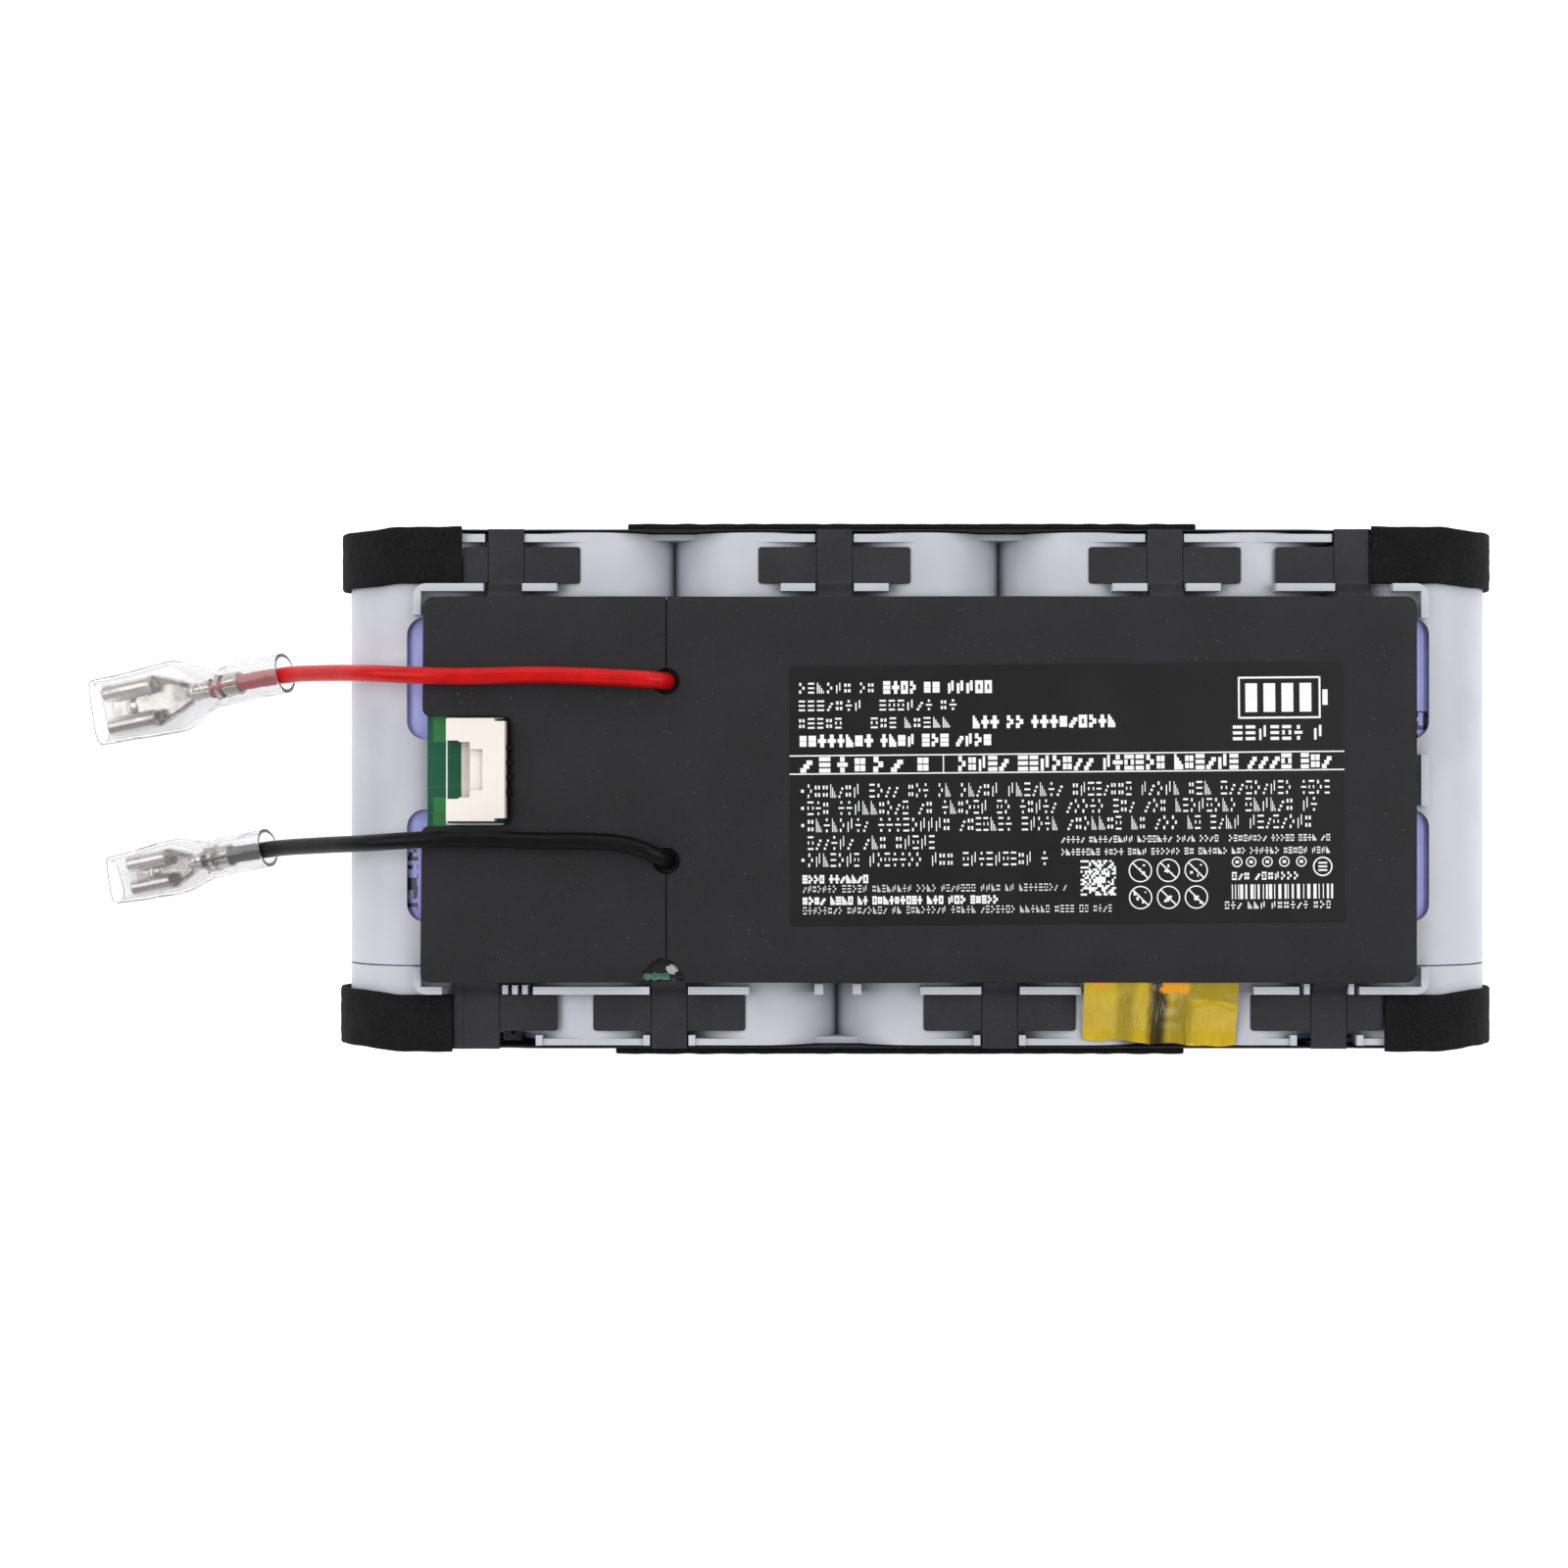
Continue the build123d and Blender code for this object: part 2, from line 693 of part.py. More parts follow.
# ================================================================ cover and label
with BuildPart() as board_cover:
    with BuildSketch(Plane.XY.offset(cover_bottom)):
        with Locations(((cover_left + cover_right) / 2, 0)):
            RectangleRounded(cover_right - cover_left, 2 * cover_half, cover_corner)
        # Notch around the header
        notch_right = header_right + pin_tail + notch_margin
        with Locations(((cover_left + notch_right) / 2 - 5, header_centre_y)):
            RectangleRounded(
                notch_right - cover_left + 10, header_width + 2 * notch_margin, notch_corner, mode=Mode.SUBTRACT
            )
        # Lead holes, each slit out to the nearer edge so that the cover can be put on last
        with Locations(positive_hole, negative_hole):
            Circle(lead_hole / 2, mode=Mode.SUBTRACT)
        for hole, edge in ((positive_hole, cover_half), (negative_hole, -cover_half)):
            slit_length = abs(edge - hole[1]) + 1
            slit_middle = hole[1] + math.copysign(slit_length / 2, edge)
            with Locations((hole[0], slit_middle)):
                Rectangle(slit_width, slit_length, mode=Mode.SUBTRACT)
        # Rounded bite at the edge, over the dab of adhesive
        with Locations((positive_hole[0] - 0.9, -cover_half)):
            Ellipse(2.4, 3.2, mode=Mode.SUBTRACT)
    extrude(amount=cover_thickness)
save(board_cover, "board_cover")

with BuildPart() as rating_label:
    with BuildSketch(Plane.XY.offset(cover_top)):
        with Locations(label_centre):
            RectangleRounded(label_length, label_width, 0.8)
    extrude(amount=label_thickness)
save(rating_label, "rating_label")

# ================================================================ thermistor under its tape
sensor_x = valleys[thermistor_valley]
bead_z = crest_z - bead_drop
bead_y = -half_cell + bead_from_end + bead_length

with BuildPart() as thermistor_bead:
    with BuildSketch(Plane.XZ.offset(-bead_y)):
        with Locations((sensor_x, bead_z)):
            Circle(bead_radius)
    extrude(amount=bead_length)
    fillet(thermistor_bead.edges().filter_by(GeomType.CIRCLE), bead_rounding)
save(thermistor_bead, "thermistor_bead")

sensor_radius = sensor_lead_diameter / 2
with BuildPart() as thermistor_leads:
    for lead_side in (-1, 1):
        start_x = sensor_x - 2.4 + lead_side * sensor_lead_spacing / 2
        end_x = sensor_x + lead_side * sensor_lead_spread / 2
        with BuildLine() as sensor_route:
            FilletPolyline(
                (start_x, -board_half + 1.4, board_top + sensor_radius + 0.05),
                (start_x + 0.3, -wall_inner - 0.3, board_top + sensor_radius + 0.1),
                (end_x, bead_y + 2.2, bead_z),
                (end_x, bead_y, bead_z),
                radius=[1.9, 1.3],
            )
        with BuildSketch(Plane(origin=sensor_route.line @ 0, z_dir=sensor_route.line % 0)):
            Circle(sensor_radius)
        sweep(path=sensor_route.line)
save(thermistor_leads, "thermistor_leads")

tape_width = cell_pitch - tape_margin
tape_left = sensor_x + tape_shift - tape_width / 2
tape_low = crest_z + 0.05
tape_high = board_top + 2 * sensor_radius + 0.35
with BuildPart() as thermistor_tape:
    with BuildSketch(Plane.YZ.offset(tape_left)):
        with BuildLine():
            Polyline(
                (-board_half - 0.2, tape_high),
                (-wall_inner - 1.25, tape_high - 0.1),
                (-wall_outer - 2.8, tape_low + 0.6),
                (-half_cell + tape_end_gap, tape_low),
                (-half_cell + tape_end_gap, tape_low + tape_thickness),
                (-wall_outer - 2.8, tape_low + 0.6 + tape_thickness),
                (-wall_inner - 1.25 - tape_thickness, tape_high - 0.1 + tape_thickness),
                (-board_half - 0.2, tape_high + tape_thickness),
                close=True,
            )
        make_face()
    extrude(amount=tape_width)
save(thermistor_tape, "thermistor_tape")


# ================================================================ leads, terminals, sleeves
def terminal_plane(rear, front, neck):
    """Plane at a sleeve's rear end: x runs down its tilted axis to the front, z is its upper side."""
    tilt = math.radians(sleeve_tilt)
    plan = Vector(front[0] - rear[0], front[1] - rear[1], 0)
    front_z = neck / 2 * math.cos(tilt) + floor_gap
    rear_z = front_z + plan.length * math.tan(tilt)
    along = plan.normalized() * math.cos(tilt) + Vector(0, 0, -math.sin(tilt))
    upward = plan.normalized() * math.sin(tilt) + Vector(0, 0, math.cos(tilt))
    length = plan.length / math.cos(tilt)
    return Plane(origin=(rear[0], rear[1], rear_z), x_dir=along, z_dir=upward), length


def lead(route, plane, lead_in):
    """Tube of a power lead: straight runs joined by tangent arcs, into its terminal."""
    points = [Vector(*point) for point in route]
    points.append(plane.origin + plane.x_dir * lead_turn_in)
    points.append(plane.origin + plane.x_dir * lead_in)
    radii = []
    for before, here, after in zip(points, points[1:], points[2:]):
        turn = (here - before).get_angle(after - here)
        shorter = min((here - before).length, (after - here).length)
        radii.append(0.45 * shorter / math.tan(math.radians(turn) / 2))
    print("lead bend radii", [round(radius, 1) for radius in radii])
    with BuildPart() as tube:
        with BuildLine() as path:
            FilletPolyline(*points, radius=radii)
        with BuildSketch(Plane(origin=path.line @ 0, z_dir=path.line % 0)):
            Circle(lead_diameter / 2)
        sweep(path=path.line)
    length = sum(edge.length for edge in path.edges())
    straight_volume = math.pi * lead_diameter ** 2 / 4 * length
    print("lead length", round(length, 2), "volume ratio", round(tube.part.volume / straight_volume, 5))
    return tube


def sleeve_solid(plane, length, size, shrink, thickness):
    """Filled body of a sleeve: a round neck that widens to a flat mouth."""
    neck = size["neck"] / 2 - shrink
    wide = size["wide"] / 2 - shrink
    neck_end = size["neck_length"]
    taper_end = neck_end + size["taper"]
    with BuildPart(mode=Mode.PRIVATE) as body:
        with BuildSketch(plane.offset(-thickness / 2)) as outline:
            with BuildLine():
                Polyline(
                    (0, -neck),
                    (neck_end, -neck),
                    (taper_end, -wide),
                    (length, -wide),
                    (length, wide),
                    (taper_end, wide),
                    (neck_end, neck),
                    (0, neck),
                    close=True,
                )
            make_face()
            bends = outline.vertices().filter_by(lambda v: 0.5 < plane.to_local_coords(v.center()).X < length - 0.5)
            fillet(bends, 3.0)
        extrude(amount=thickness)
        rims = body.faces().filter_by(lambda f: abs(f.normal_at().dot(plane.z_dir)) > 0.99).edges()
        long_rims = rims.filter_by(lambda e: abs((e % 0.5).dot(plane.x_dir)) > 0.2)
        fillet(long_rims, thickness / 2 - 0.25)
    return body.part


def sleeve(plane, length, size):
    """Clear flexible sleeve, open at both ends."""
    neck = size["neck"]
    outer = sleeve_solid(plane, length, size, 0, neck)
    inner = sleeve_solid(plane, length, size, sleeve_wall, neck - 2 * sleeve_wall)
    with BuildPart() as shell:
        add(outer)
        add(inner, mode=Mode.SUBTRACT)
    return shell


def terminal(plane, length, lead_in, size):
    """Push-on receptacle: insulation crimp, wire crimp, neck and a socket with rolled edges."""
    sheet = 0.4
    front = length - 2.0
    socket_start = front - size["length"]
    height = size["height"]
    width = size["width"]
    section = Plane(origin=plane.origin, x_dir=plane.y_dir, z_dir=plane.x_dir)
    with BuildPart() as metal:
        with BuildSketch(section.offset(lead_in - 4.3)):
            Circle(lead_diameter / 2 + 0.05 + sheet)
            Circle(lead_diameter / 2 + 0.05, mode=Mode.SUBTRACT)
        extrude(amount=4.3)
        # Closed wall between the two crimps, where the lead's end stops
        with BuildSketch(section.offset(lead_in)):
            Circle(lead_diameter / 2 + 0.05 + sheet)
        extrude(amount=0.6)
        with BuildSketch(section.offset(lead_in + 0.6)):
            RectangleRounded(2.7, 2.1, 0.9)
        extrude(amount=4.4)
        with BuildSketch(section.offset(lead_in + 5.0)):
            with Locations((0, -height / 2 + sheet)):
                Rectangle(3.2, 2 * sheet)
        extrude(amount=socket_start - lead_in - 5.0 + 0.5)
        with BuildSketch(section.offset(socket_start)):
            RectangleRounded(width, height, height / 2 - 0.1)
            RectangleRounded(width - 2 * sheet, height - 2 * sheet, height / 2 - sheet - 0.1, mode=Mode.SUBTRACT)
            with Locations((0, height / 2 - sheet / 2)):
                Rectangle(width * 0.4, 2 * sheet, mode=Mode.SUBTRACT)
            for edge in (-1, 1):
                with Locations((edge * (width * 0.2 + sheet / 2), height / 2 - sheet)):
                    Rectangle(sheet, 2 * sheet)
        extrude(amount=size["length"])
    return metal


for word, rear, front, route, lead_in, sleeve_size, socket in (
    ("positive", positive_rear, positive_front, positive_route, positive_lead_in, positive_sleeve_size,
     positive_receptacle),
    ("negative", negative_rear, negative_front, negative_route, negative_lead_in, negative_sleeve_size,
     negative_receptacle),
):
    plane, length = terminal_plane(rear, front, sleeve_size["neck"])
    save(lead(route, plane, lead_in), f"{word}_lead")
    save(terminal(plane, length, lead_in, socket), f"{word}_terminal")
    save(sleeve(plane, length, sleeve_size), f"{word}_sleeve")
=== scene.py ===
"""Battery pack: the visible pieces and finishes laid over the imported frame, in metres."""

import logging
import math
from dataclasses import dataclass, field
from enum import Enum

import bmesh
import bpy
import numpy as np
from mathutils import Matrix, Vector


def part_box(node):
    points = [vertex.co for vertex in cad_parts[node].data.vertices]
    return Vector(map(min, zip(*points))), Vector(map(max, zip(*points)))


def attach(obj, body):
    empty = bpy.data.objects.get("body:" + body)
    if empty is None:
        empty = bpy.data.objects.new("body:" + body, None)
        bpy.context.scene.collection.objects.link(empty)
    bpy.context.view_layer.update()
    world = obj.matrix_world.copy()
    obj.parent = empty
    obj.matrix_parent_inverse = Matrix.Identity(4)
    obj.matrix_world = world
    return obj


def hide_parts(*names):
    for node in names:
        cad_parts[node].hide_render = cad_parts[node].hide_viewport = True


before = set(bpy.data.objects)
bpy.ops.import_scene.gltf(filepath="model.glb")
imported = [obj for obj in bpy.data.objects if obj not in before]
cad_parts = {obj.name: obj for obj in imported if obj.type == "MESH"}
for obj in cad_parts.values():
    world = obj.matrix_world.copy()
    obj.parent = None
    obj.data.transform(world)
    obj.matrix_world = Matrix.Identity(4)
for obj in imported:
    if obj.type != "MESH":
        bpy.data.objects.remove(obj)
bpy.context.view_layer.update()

MM = 0.001
BODY = "root"
log = logging.getLogger("battery_pack")


# ================================================================ numbers and surfaces
def linear(red: float, green: float, blue: float) -> tuple[float, float, float, float]:
    """Turns a screen colour into the light values that a shader takes.

    Args:
        red: Red, 0 to 255.
        green: Green, 0 to 255.
        blue: Blue, 0 to 255.

    Returns:
        The colour as linear red, green, blue and an alpha of 1.
    """
    parts = [channel / 255 for channel in (red, green, blue)]
    lit = [part / 12.92 if part <= 0.04045 else ((part + 0.055) / 1.055) ** 2.4 for part in parts]
    return (*lit, 1.0)


def grey(level: float) -> tuple[float, float, float, float]:
    """A neutral colour of this light value."""
    return (level, level, level, 1.0)


def ease(value: np.ndarray) -> np.ndarray:
    """Smooth step: 3t^2 - 2t^3 of the value held between 0 and 1."""
    held = np.clip(value, 0.0, 1.0)
    return held * held * (3.0 - 2.0 * held)


def swell(x: np.ndarray, y: np.ndarray, reach: float, seed: int) -> np.ndarray:
    """Slow unevenness of a surface: the mean of eight sine waves of random heading and phase.

    Args:
        x: First coordinate, mm.
        y: Second coordinate, mm.
        reach: Typical wavelength, mm.
        seed: Start of the random order.

    Returns:
        Values between about -1 and 1.
    """
    order = np.random.default_rng(seed)
    heading = order.uniform(0, 2 * np.pi, 8)
    phase = order.uniform(0, 2 * np.pi, 8)
    length = reach * order.uniform(0.6, 1.7, 8)
    total = np.zeros(np.broadcast(x, y).shape)
    for turn, start, wave in zip(heading, phase, length):
        along = x * math.cos(turn) + y * math.sin(turn)
        total = total + np.sin(2 * np.pi * along / wave + start)
    return total / 4.0


def grid_faces(rows: int, columns: int, wrap: bool = False) -> np.ndarray:
    """Quads of a grid of points, row after row.

    Args:
        rows: Number of rows of points.
        columns: Number of points in a row.
        wrap: True where the last column joins the first.

    Returns:
        Point numbers, four to a face.
    """
    row = np.arange(rows - 1)[:, None]
    column = np.arange(columns if wrap else columns - 1)[None, :]
    following = (column + 1) % columns
    near, far = row * columns, (row + 1) * columns
    quads = np.stack([near + column, near + following, far + following, far + column], axis=-1)
    return quads.reshape(-1, 4)


def make_mesh(name: str, points: np.ndarray, faces: list[np.ndarray], finish: "Finish",
              smooth: bool = True, uv: np.ndarray | None = None) -> bpy.types.Object:
    """Makes a mesh object from points in millimetres and dresses it.

    Args:
        name: Name of the piece.
        points: Points in mm, three to a row.
        faces: Arrays of point numbers, one array for each number of corners.
        finish: Finish to dress the piece in.
        smooth: True for smooth shading.
        uv: A pair of numbers for each point, or None.

    Returns:
        The new object.
    """
    mesh = bpy.data.meshes.new(name)
    mesh.vertices.add(len(points))
    mesh.vertices.foreach_set("co", (np.asarray(points, float) * MM).astype(np.float32).ravel())
    corners = np.concatenate([face.ravel() for face in faces])
    sizes = np.concatenate([np.full(len(face), face.shape[1]) for face in faces])
    mesh.loops.add(len(corners))
    mesh.loops.foreach_set("vertex_index", corners.astype(np.int32))
    mesh.polygons.add(len(sizes))
    mesh.polygons.foreach_set("loop_start", (np.cumsum(sizes) - sizes).astype(np.int32))
    mesh.polygons.foreach_set("use_smooth", np.full(len(sizes), smooth))
    mesh.update(calc_edges=True)
    mesh.validate()
    if uv is not None:
        layer = mesh.uv_layers.new(name="surface")
        layer.data.foreach_set("uv", uv[corners].astype(np.float32).ravel())
    piece = bpy.data.objects.new(name, mesh)
    bpy.context.scene.collection.objects.link(piece)
    piece.data.materials.append(finish.material())
    log.info("%s: %d points, %s", name, len(points), finish.name)
    return piece


def make_piece(name: str, points: np.ndarray, faces: list[np.ndarray], finish: "Finish",
               smooth: bool = True, uv: np.ndarray | None = None) -> bpy.types.Object:
    """Makes a mesh object that rides on the pack.

    Args:
        name: Name of the piece.
        points: Points in mm, three to a row.
        faces: Arrays of point numbers, one array for each number of corners.
        finish: Finish to dress the piece in.
        smooth: True for smooth shading.
        uv: A pair of numbers for each point, or None.

    Returns:
        The new object.
    """
    piece = make_mesh(name, points, faces, finish, smooth, uv)
    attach(piece, BODY)
    return piece


def turn_outward(piece: bpy.types.Object) -> bpy.types.Object:
    """Merges the doubled points of a closed shell and turns its faces outwards.

    Args:
        piece: The shell.

    Returns:
        The same object.
    """
    shell = bmesh.new()
    shell.from_mesh(piece.data)
    bmesh.ops.remove_doubles(shell, verts=shell.verts, dist=1e-7)
    bmesh.ops.recalc_face_normals(shell, faces=shell.faces)
    shell.to_mesh(piece.data)
    shell.free()
    return piece


def closed_form(name: str, rings: np.ndarray, finish: "Finish", smooth: bool = True) -> bpy.types.Object:
    """Closes a run of rings into a solid form, with a fan of triangles over each end.

    Args:
        name: Name of the piece.
        rings: Rings of points in mm, as rings by points by three.
        finish: Finish of the piece.
        smooth: True for smooth shading.

    Returns:
        The new object, with its faces outwards.
    """
    count, around = rings.shape[:2]
    ends = np.stack([rings[0].mean(axis=0), rings[-1].mean(axis=0)])
    points = np.concatenate([rings.reshape(-1, 3), ends])
    turn = np.arange(around)
    following = (turn + 1) % around
    first = np.stack([np.full(around, count * around), following, turn], axis=-1)
    base = (count - 1) * around
    last = np.stack([np.full(around, count * around + 1), base + turn, base + following], axis=-1)
    faces = [grid_faces(count, around, wrap=True), np.concatenate([first, last])]
    return turn_outward(make_piece(name, points, faces, finish, smooth))


def rounded_section(width: float, height: float, radius: float, steps: int = 5, side: int = 8) -> np.ndarray:
    """Closed rounded rectangle about its middle: four arcs joined by evenly divided sides.

    Args:
        width: Full width, mm.
        height: Full height, mm.
        radius: Corner radius, mm.
        steps: Points on each corner.
        side: Points on each long side, between the corners.

    Returns:
        Points of the section, two to a row.
    """
    arcs = []
    for quarter, (across, up) in enumerate(((1, 1), (-1, 1), (-1, -1), (1, -1))):
        angle = np.linspace(quarter * np.pi / 2, (quarter + 1) * np.pi / 2, steps)
        centre = np.array([across * (width / 2 - radius), up * (height / 2 - radius)])
        arcs.append(centre + radius * np.stack([np.cos(angle), np.sin(angle)], axis=-1))
    runs = []
    for arc, following in zip(arcs, arcs[1:] + arcs[:1]):
        share = np.linspace(0, 1, side + 2)[1:-1, None]
        runs += [arc, arc[-1] * (1 - share) + following[0] * share]
    return np.concatenate(runs)


def add_wall(piece: bpy.types.Object, thickness: float, offset: float = -1.0, even: bool = True) -> None:
    """Gives a sheet its thickness.

    Args:
        piece: The sheet.
        thickness: Thickness, mm.
        offset: -1 grows it behind its faces, 1 in front, 0 on both sides.
        even: True keeps the thickness even round sharp bends.
    """
    wall = piece.modifiers.new("wall", "SOLIDIFY")
    wall.thickness = thickness * MM
    wall.offset = offset
    wall.use_even_offset = even


def span(node: str) -> tuple[np.ndarray, np.ndarray]:
    """Lowest and highest corner of a frame node, in mm."""
    low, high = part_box(node)
    return np.array(low) / MM, np.array(high) / MM


# ================================================================ shader writing
class Wire:
    """A shader socket that adds Math nodes when Python operators are used on it."""

    def __init__(self, shader: "Shader", socket: bpy.types.NodeSocket) -> None:
        """Keeps the shader and the socket."""
        self.shader = shader
        self.socket = socket

    def _math(self, operation: str, *values: "Wire | float") -> "Wire":
        """Adds one Math node over the values."""
        node = self.shader.add("ShaderNodeMath", {"operation": operation}, dict(enumerate(values)))
        return Wire(self.shader, node.outputs[0])

    def __add__(self, other: "Wire | float") -> "Wire":
        """Sum."""
        return self._math("ADD", self, other)

    def __sub__(self, other: "Wire | float") -> "Wire":
        """Difference."""
        return self._math("SUBTRACT", self, other)

    def __rsub__(self, other: float) -> "Wire":
        """Difference from a number."""
        return self._math("SUBTRACT", other, self)

    def __mul__(self, other: "Wire | float") -> "Wire":
        """Product."""
        return self._math("MULTIPLY", self, other)

    def __truediv__(self, other: "Wire | float") -> "Wire":
        """Quotient."""
        return self._math("DIVIDE", self, other)

    def __gt__(self, other: "Wire | float") -> "Wire":
        """1 where this is the greater."""
        return self._math("GREATER_THAN", self, other)

    def __lt__(self, other: "Wire | float") -> "Wire":
        """1 where this is the smaller."""
        return self._math("LESS_THAN", self, other)

    __radd__ = __add__
    __rmul__ = __mul__

    def __abs__(self) -> "Wire":
        """Size without the sign."""
        return self._math("ABSOLUTE", self)

    def fraction(self) -> "Wire":
        """What is left above the whole number."""
        return self._math("FRACT", self)

    def between(self, low: float, high: float) -> "Wire":
        """0 below low, 1 above high, and a smooth step between them."""
        node = self.shader.add("ShaderNodeMapRange", {"interpolation_type": "SMOOTHSTEP"},
                               {"Value": self, "From Min": low, "From Max": high})
        return Wire(self.shader, node.outputs[0])


class Shader:
    """Node tree of one material, written through a few short methods."""

    def __init__(self, name: str) -> None:
        """Makes an empty material of this name."""
        self.material = bpy.data.materials.new(name)
        self.material.use_nodes = True
        self.tree = self.material.node_tree
        self.tree.nodes.clear()

    def add(self, kind: str, settings: dict, inputs: dict) -> bpy.types.Node:
        """Adds any node.

        Args:
            kind: Type of the node.
            settings: Its settings, which are set first.
            inputs: Values or wires of its sockets, by name or number.

        Returns:
            The new node.
        """
        node = self.tree.nodes.new(kind)
        for setting, value in settings.items():
            setattr(node, setting, value)
        for key, value in inputs.items():
            socket = node.inputs[key]
            if isinstance(value, Wire):
                self.tree.links.new(value.socket, socket)
            else:
                socket.default_value = value
        return node

    def object_place(self) -> Wire:
        """Object coordinates, in metres."""
        return Wire(self, self.add("ShaderNodeTexCoord", {}, {}).outputs["Object"])

    def surface_place(self) -> Wire:
        """The piece's own surface coordinates, in mm."""
        return Wire(self, self.add("ShaderNodeUVMap", {"uv_map": "surface"}, {}).outputs[0])

    def axes(self, place: Wire) -> tuple[Wire, Wire, Wire]:
        """Splits a place into its three numbers."""
        node = self.add("ShaderNodeSeparateXYZ", {}, {0: place})
        return tuple(Wire(self, output) for output in node.outputs)

    def stretch(self, place: Wire, factors: tuple[float, float, float]) -> Wire:
        """Multiplies a place by a factor on each axis."""
        node = self.add("ShaderNodeVectorMath", {"operation": "MULTIPLY"}, {0: place, 1: factors})
        return Wire(self, node.outputs[0])

    def noise(self, place: Wire, grain: float, detail: float = 3.0, rough: float = 0.55) -> Wire:
        """Cloudy noise whose features are about grain mm across."""
        node = self.add("ShaderNodeTexNoise", {}, {"Vector": place, "Scale": 1 / (grain * MM),
                                                   "Detail": detail, "Roughness": rough})
        return Wire(self, node.outputs[0])

    def cells(self, place: Wire, grain: float) -> Wire:
        """Distance to the nearest of scattered points about grain mm apart."""
        node = self.add("ShaderNodeTexVoronoi", {}, {"Vector": place, "Scale": 1 / (grain * MM)})
        return Wire(self, node.outputs["Distance"])

    def specks(self, place: Wire, grain: float) -> Wire:
        """A random number for each little square.

        Args:
            place: Where, as a wire.
            grain: Side of a square, mm.

        Returns:
            The number, 0 to 1.
        """
        snapped = self.add("ShaderNodeVectorMath", {"operation": "SNAP"},
                           {0: place, 1: (grain * MM, grain * MM, 1.0)})
        node = self.add("ShaderNodeTexWhiteNoise", {"noise_dimensions": "3D"},
                        {"Vector": Wire(self, snapped.outputs[0])})
        return Wire(self, node.outputs[0])

    def mix(self, factor: Wire | float, first: "Wire | tuple", second: "Wire | tuple") -> Wire:
        """Mixes two colours."""
        node = self.add("ShaderNodeMix", {"data_type": "RGBA"}, {0: factor, 6: first, 7: second})
        return Wire(self, node.outputs[2])

    def bump(self, height: Wire, depth: float, strength: float = 1.0) -> Wire:
        """Normal of a surface that is raised by height times depth mm."""
        sockets = {"Height": height, "Distance": depth * MM, "Strength": strength}
        node = self.add("ShaderNodeBump", {}, sockets)
        return Wire(self, node.outputs[0])

    def openness(self, reach: float) -> Wire:
        """1 on open surfaces, less in corners and gaps narrower than reach mm."""
        node = self.add("ShaderNodeAmbientOcclusion", {"samples": 6}, {"Distance": reach * MM})
        return Wire(self, node.outputs["AO"])

    def facing(self, blend: float) -> Wire:
        """0 where the surface is seen square on, 1 at its rim."""
        return Wire(self, self.add("ShaderNodeLayerWeight", {}, {"Blend": blend}).outputs["Facing"])

    def surface(self, **sockets: "Wire | float | tuple") -> bpy.types.Material:
        """Ends the tree with the main shader.

        Args:
            sockets: Values or wires of its sockets, named with underscores for spaces.

        Returns:
            The finished material.
        """
        inputs = {key.replace("_", " "): value for key, value in sockets.items()}
        node = self.add("ShaderNodeBsdfPrincipled", {}, inputs)
        output = self.add("ShaderNodeOutputMaterial", {}, {})
        self.tree.links.new(node.outputs[0], output.inputs[0])
        return self.material


@dataclass(frozen=True)
class Finish:
    """A finish: its name, and the slot of the record that it belongs to."""

    name: str
    slot: str

    def material(self) -> bpy.types.Material:
        """The finish's material, made the first time it is asked for."""
        title = f"{self.name}_surface"
        return bpy.data.materials.get(title) or self.paint(Shader(title))

    def paint(self, shader: Shader) -> bpy.types.Material:
        """Writes the nodes of the finish."""
        raise NotImplementedError


@dataclass(frozen=True)
class MouldedPlastic(Finish):
    """Moulded plastic with fine spark texture, faint flow marks, a little dust and painted shade in its
    corners and gaps.
    """

    colour: tuple = linear(201, 202, 210)
    shade: tuple = linear(188, 190, 200)
    roughness: float = 0.42
    grain: float = 0.18
    depth: float = 0.012

    def paint(self, shader: Shader) -> bpy.types.Material:
        """Colour drifts between two greys, painted shade darkens corners and gaps, and the bump is fine grain
        over long flow marks.

        Args:
            shader: Empty shader to write to.

        Returns:
            The material.
        """
        place = shader.object_place()
        drift = shader.noise(place, 14.0, 3.0)
        flow = shader.noise(shader.stretch(place, (0.25, 1.0, 1.0)), 2.2, 4.0)
        spark = shader.noise(place, self.grain, 2.0)
        dust = shader.noise(place, 0.35, 2.0).between(0.70, 0.80)
        tint = shader.mix(drift.between(0.3, 0.75), self.colour, self.shade)
        tint = shader.mix(dust * 0.18, tint, linear(150, 148, 146))
        # painted shade: ambient occlusion darkens the colour to a blue-grey in corners and gaps narrower than
        # 1.6 mm
        tint = shader.mix((1 - shader.openness(1.6)) * 0.55, tint, linear(96, 98, 112))
        height = spark * 0.6 + flow * 0.8
        return shader.surface(Base_Color=tint, Roughness=self.roughness + flow * 0.14 - 0.07,
                              Normal=shader.bump(height, self.depth))


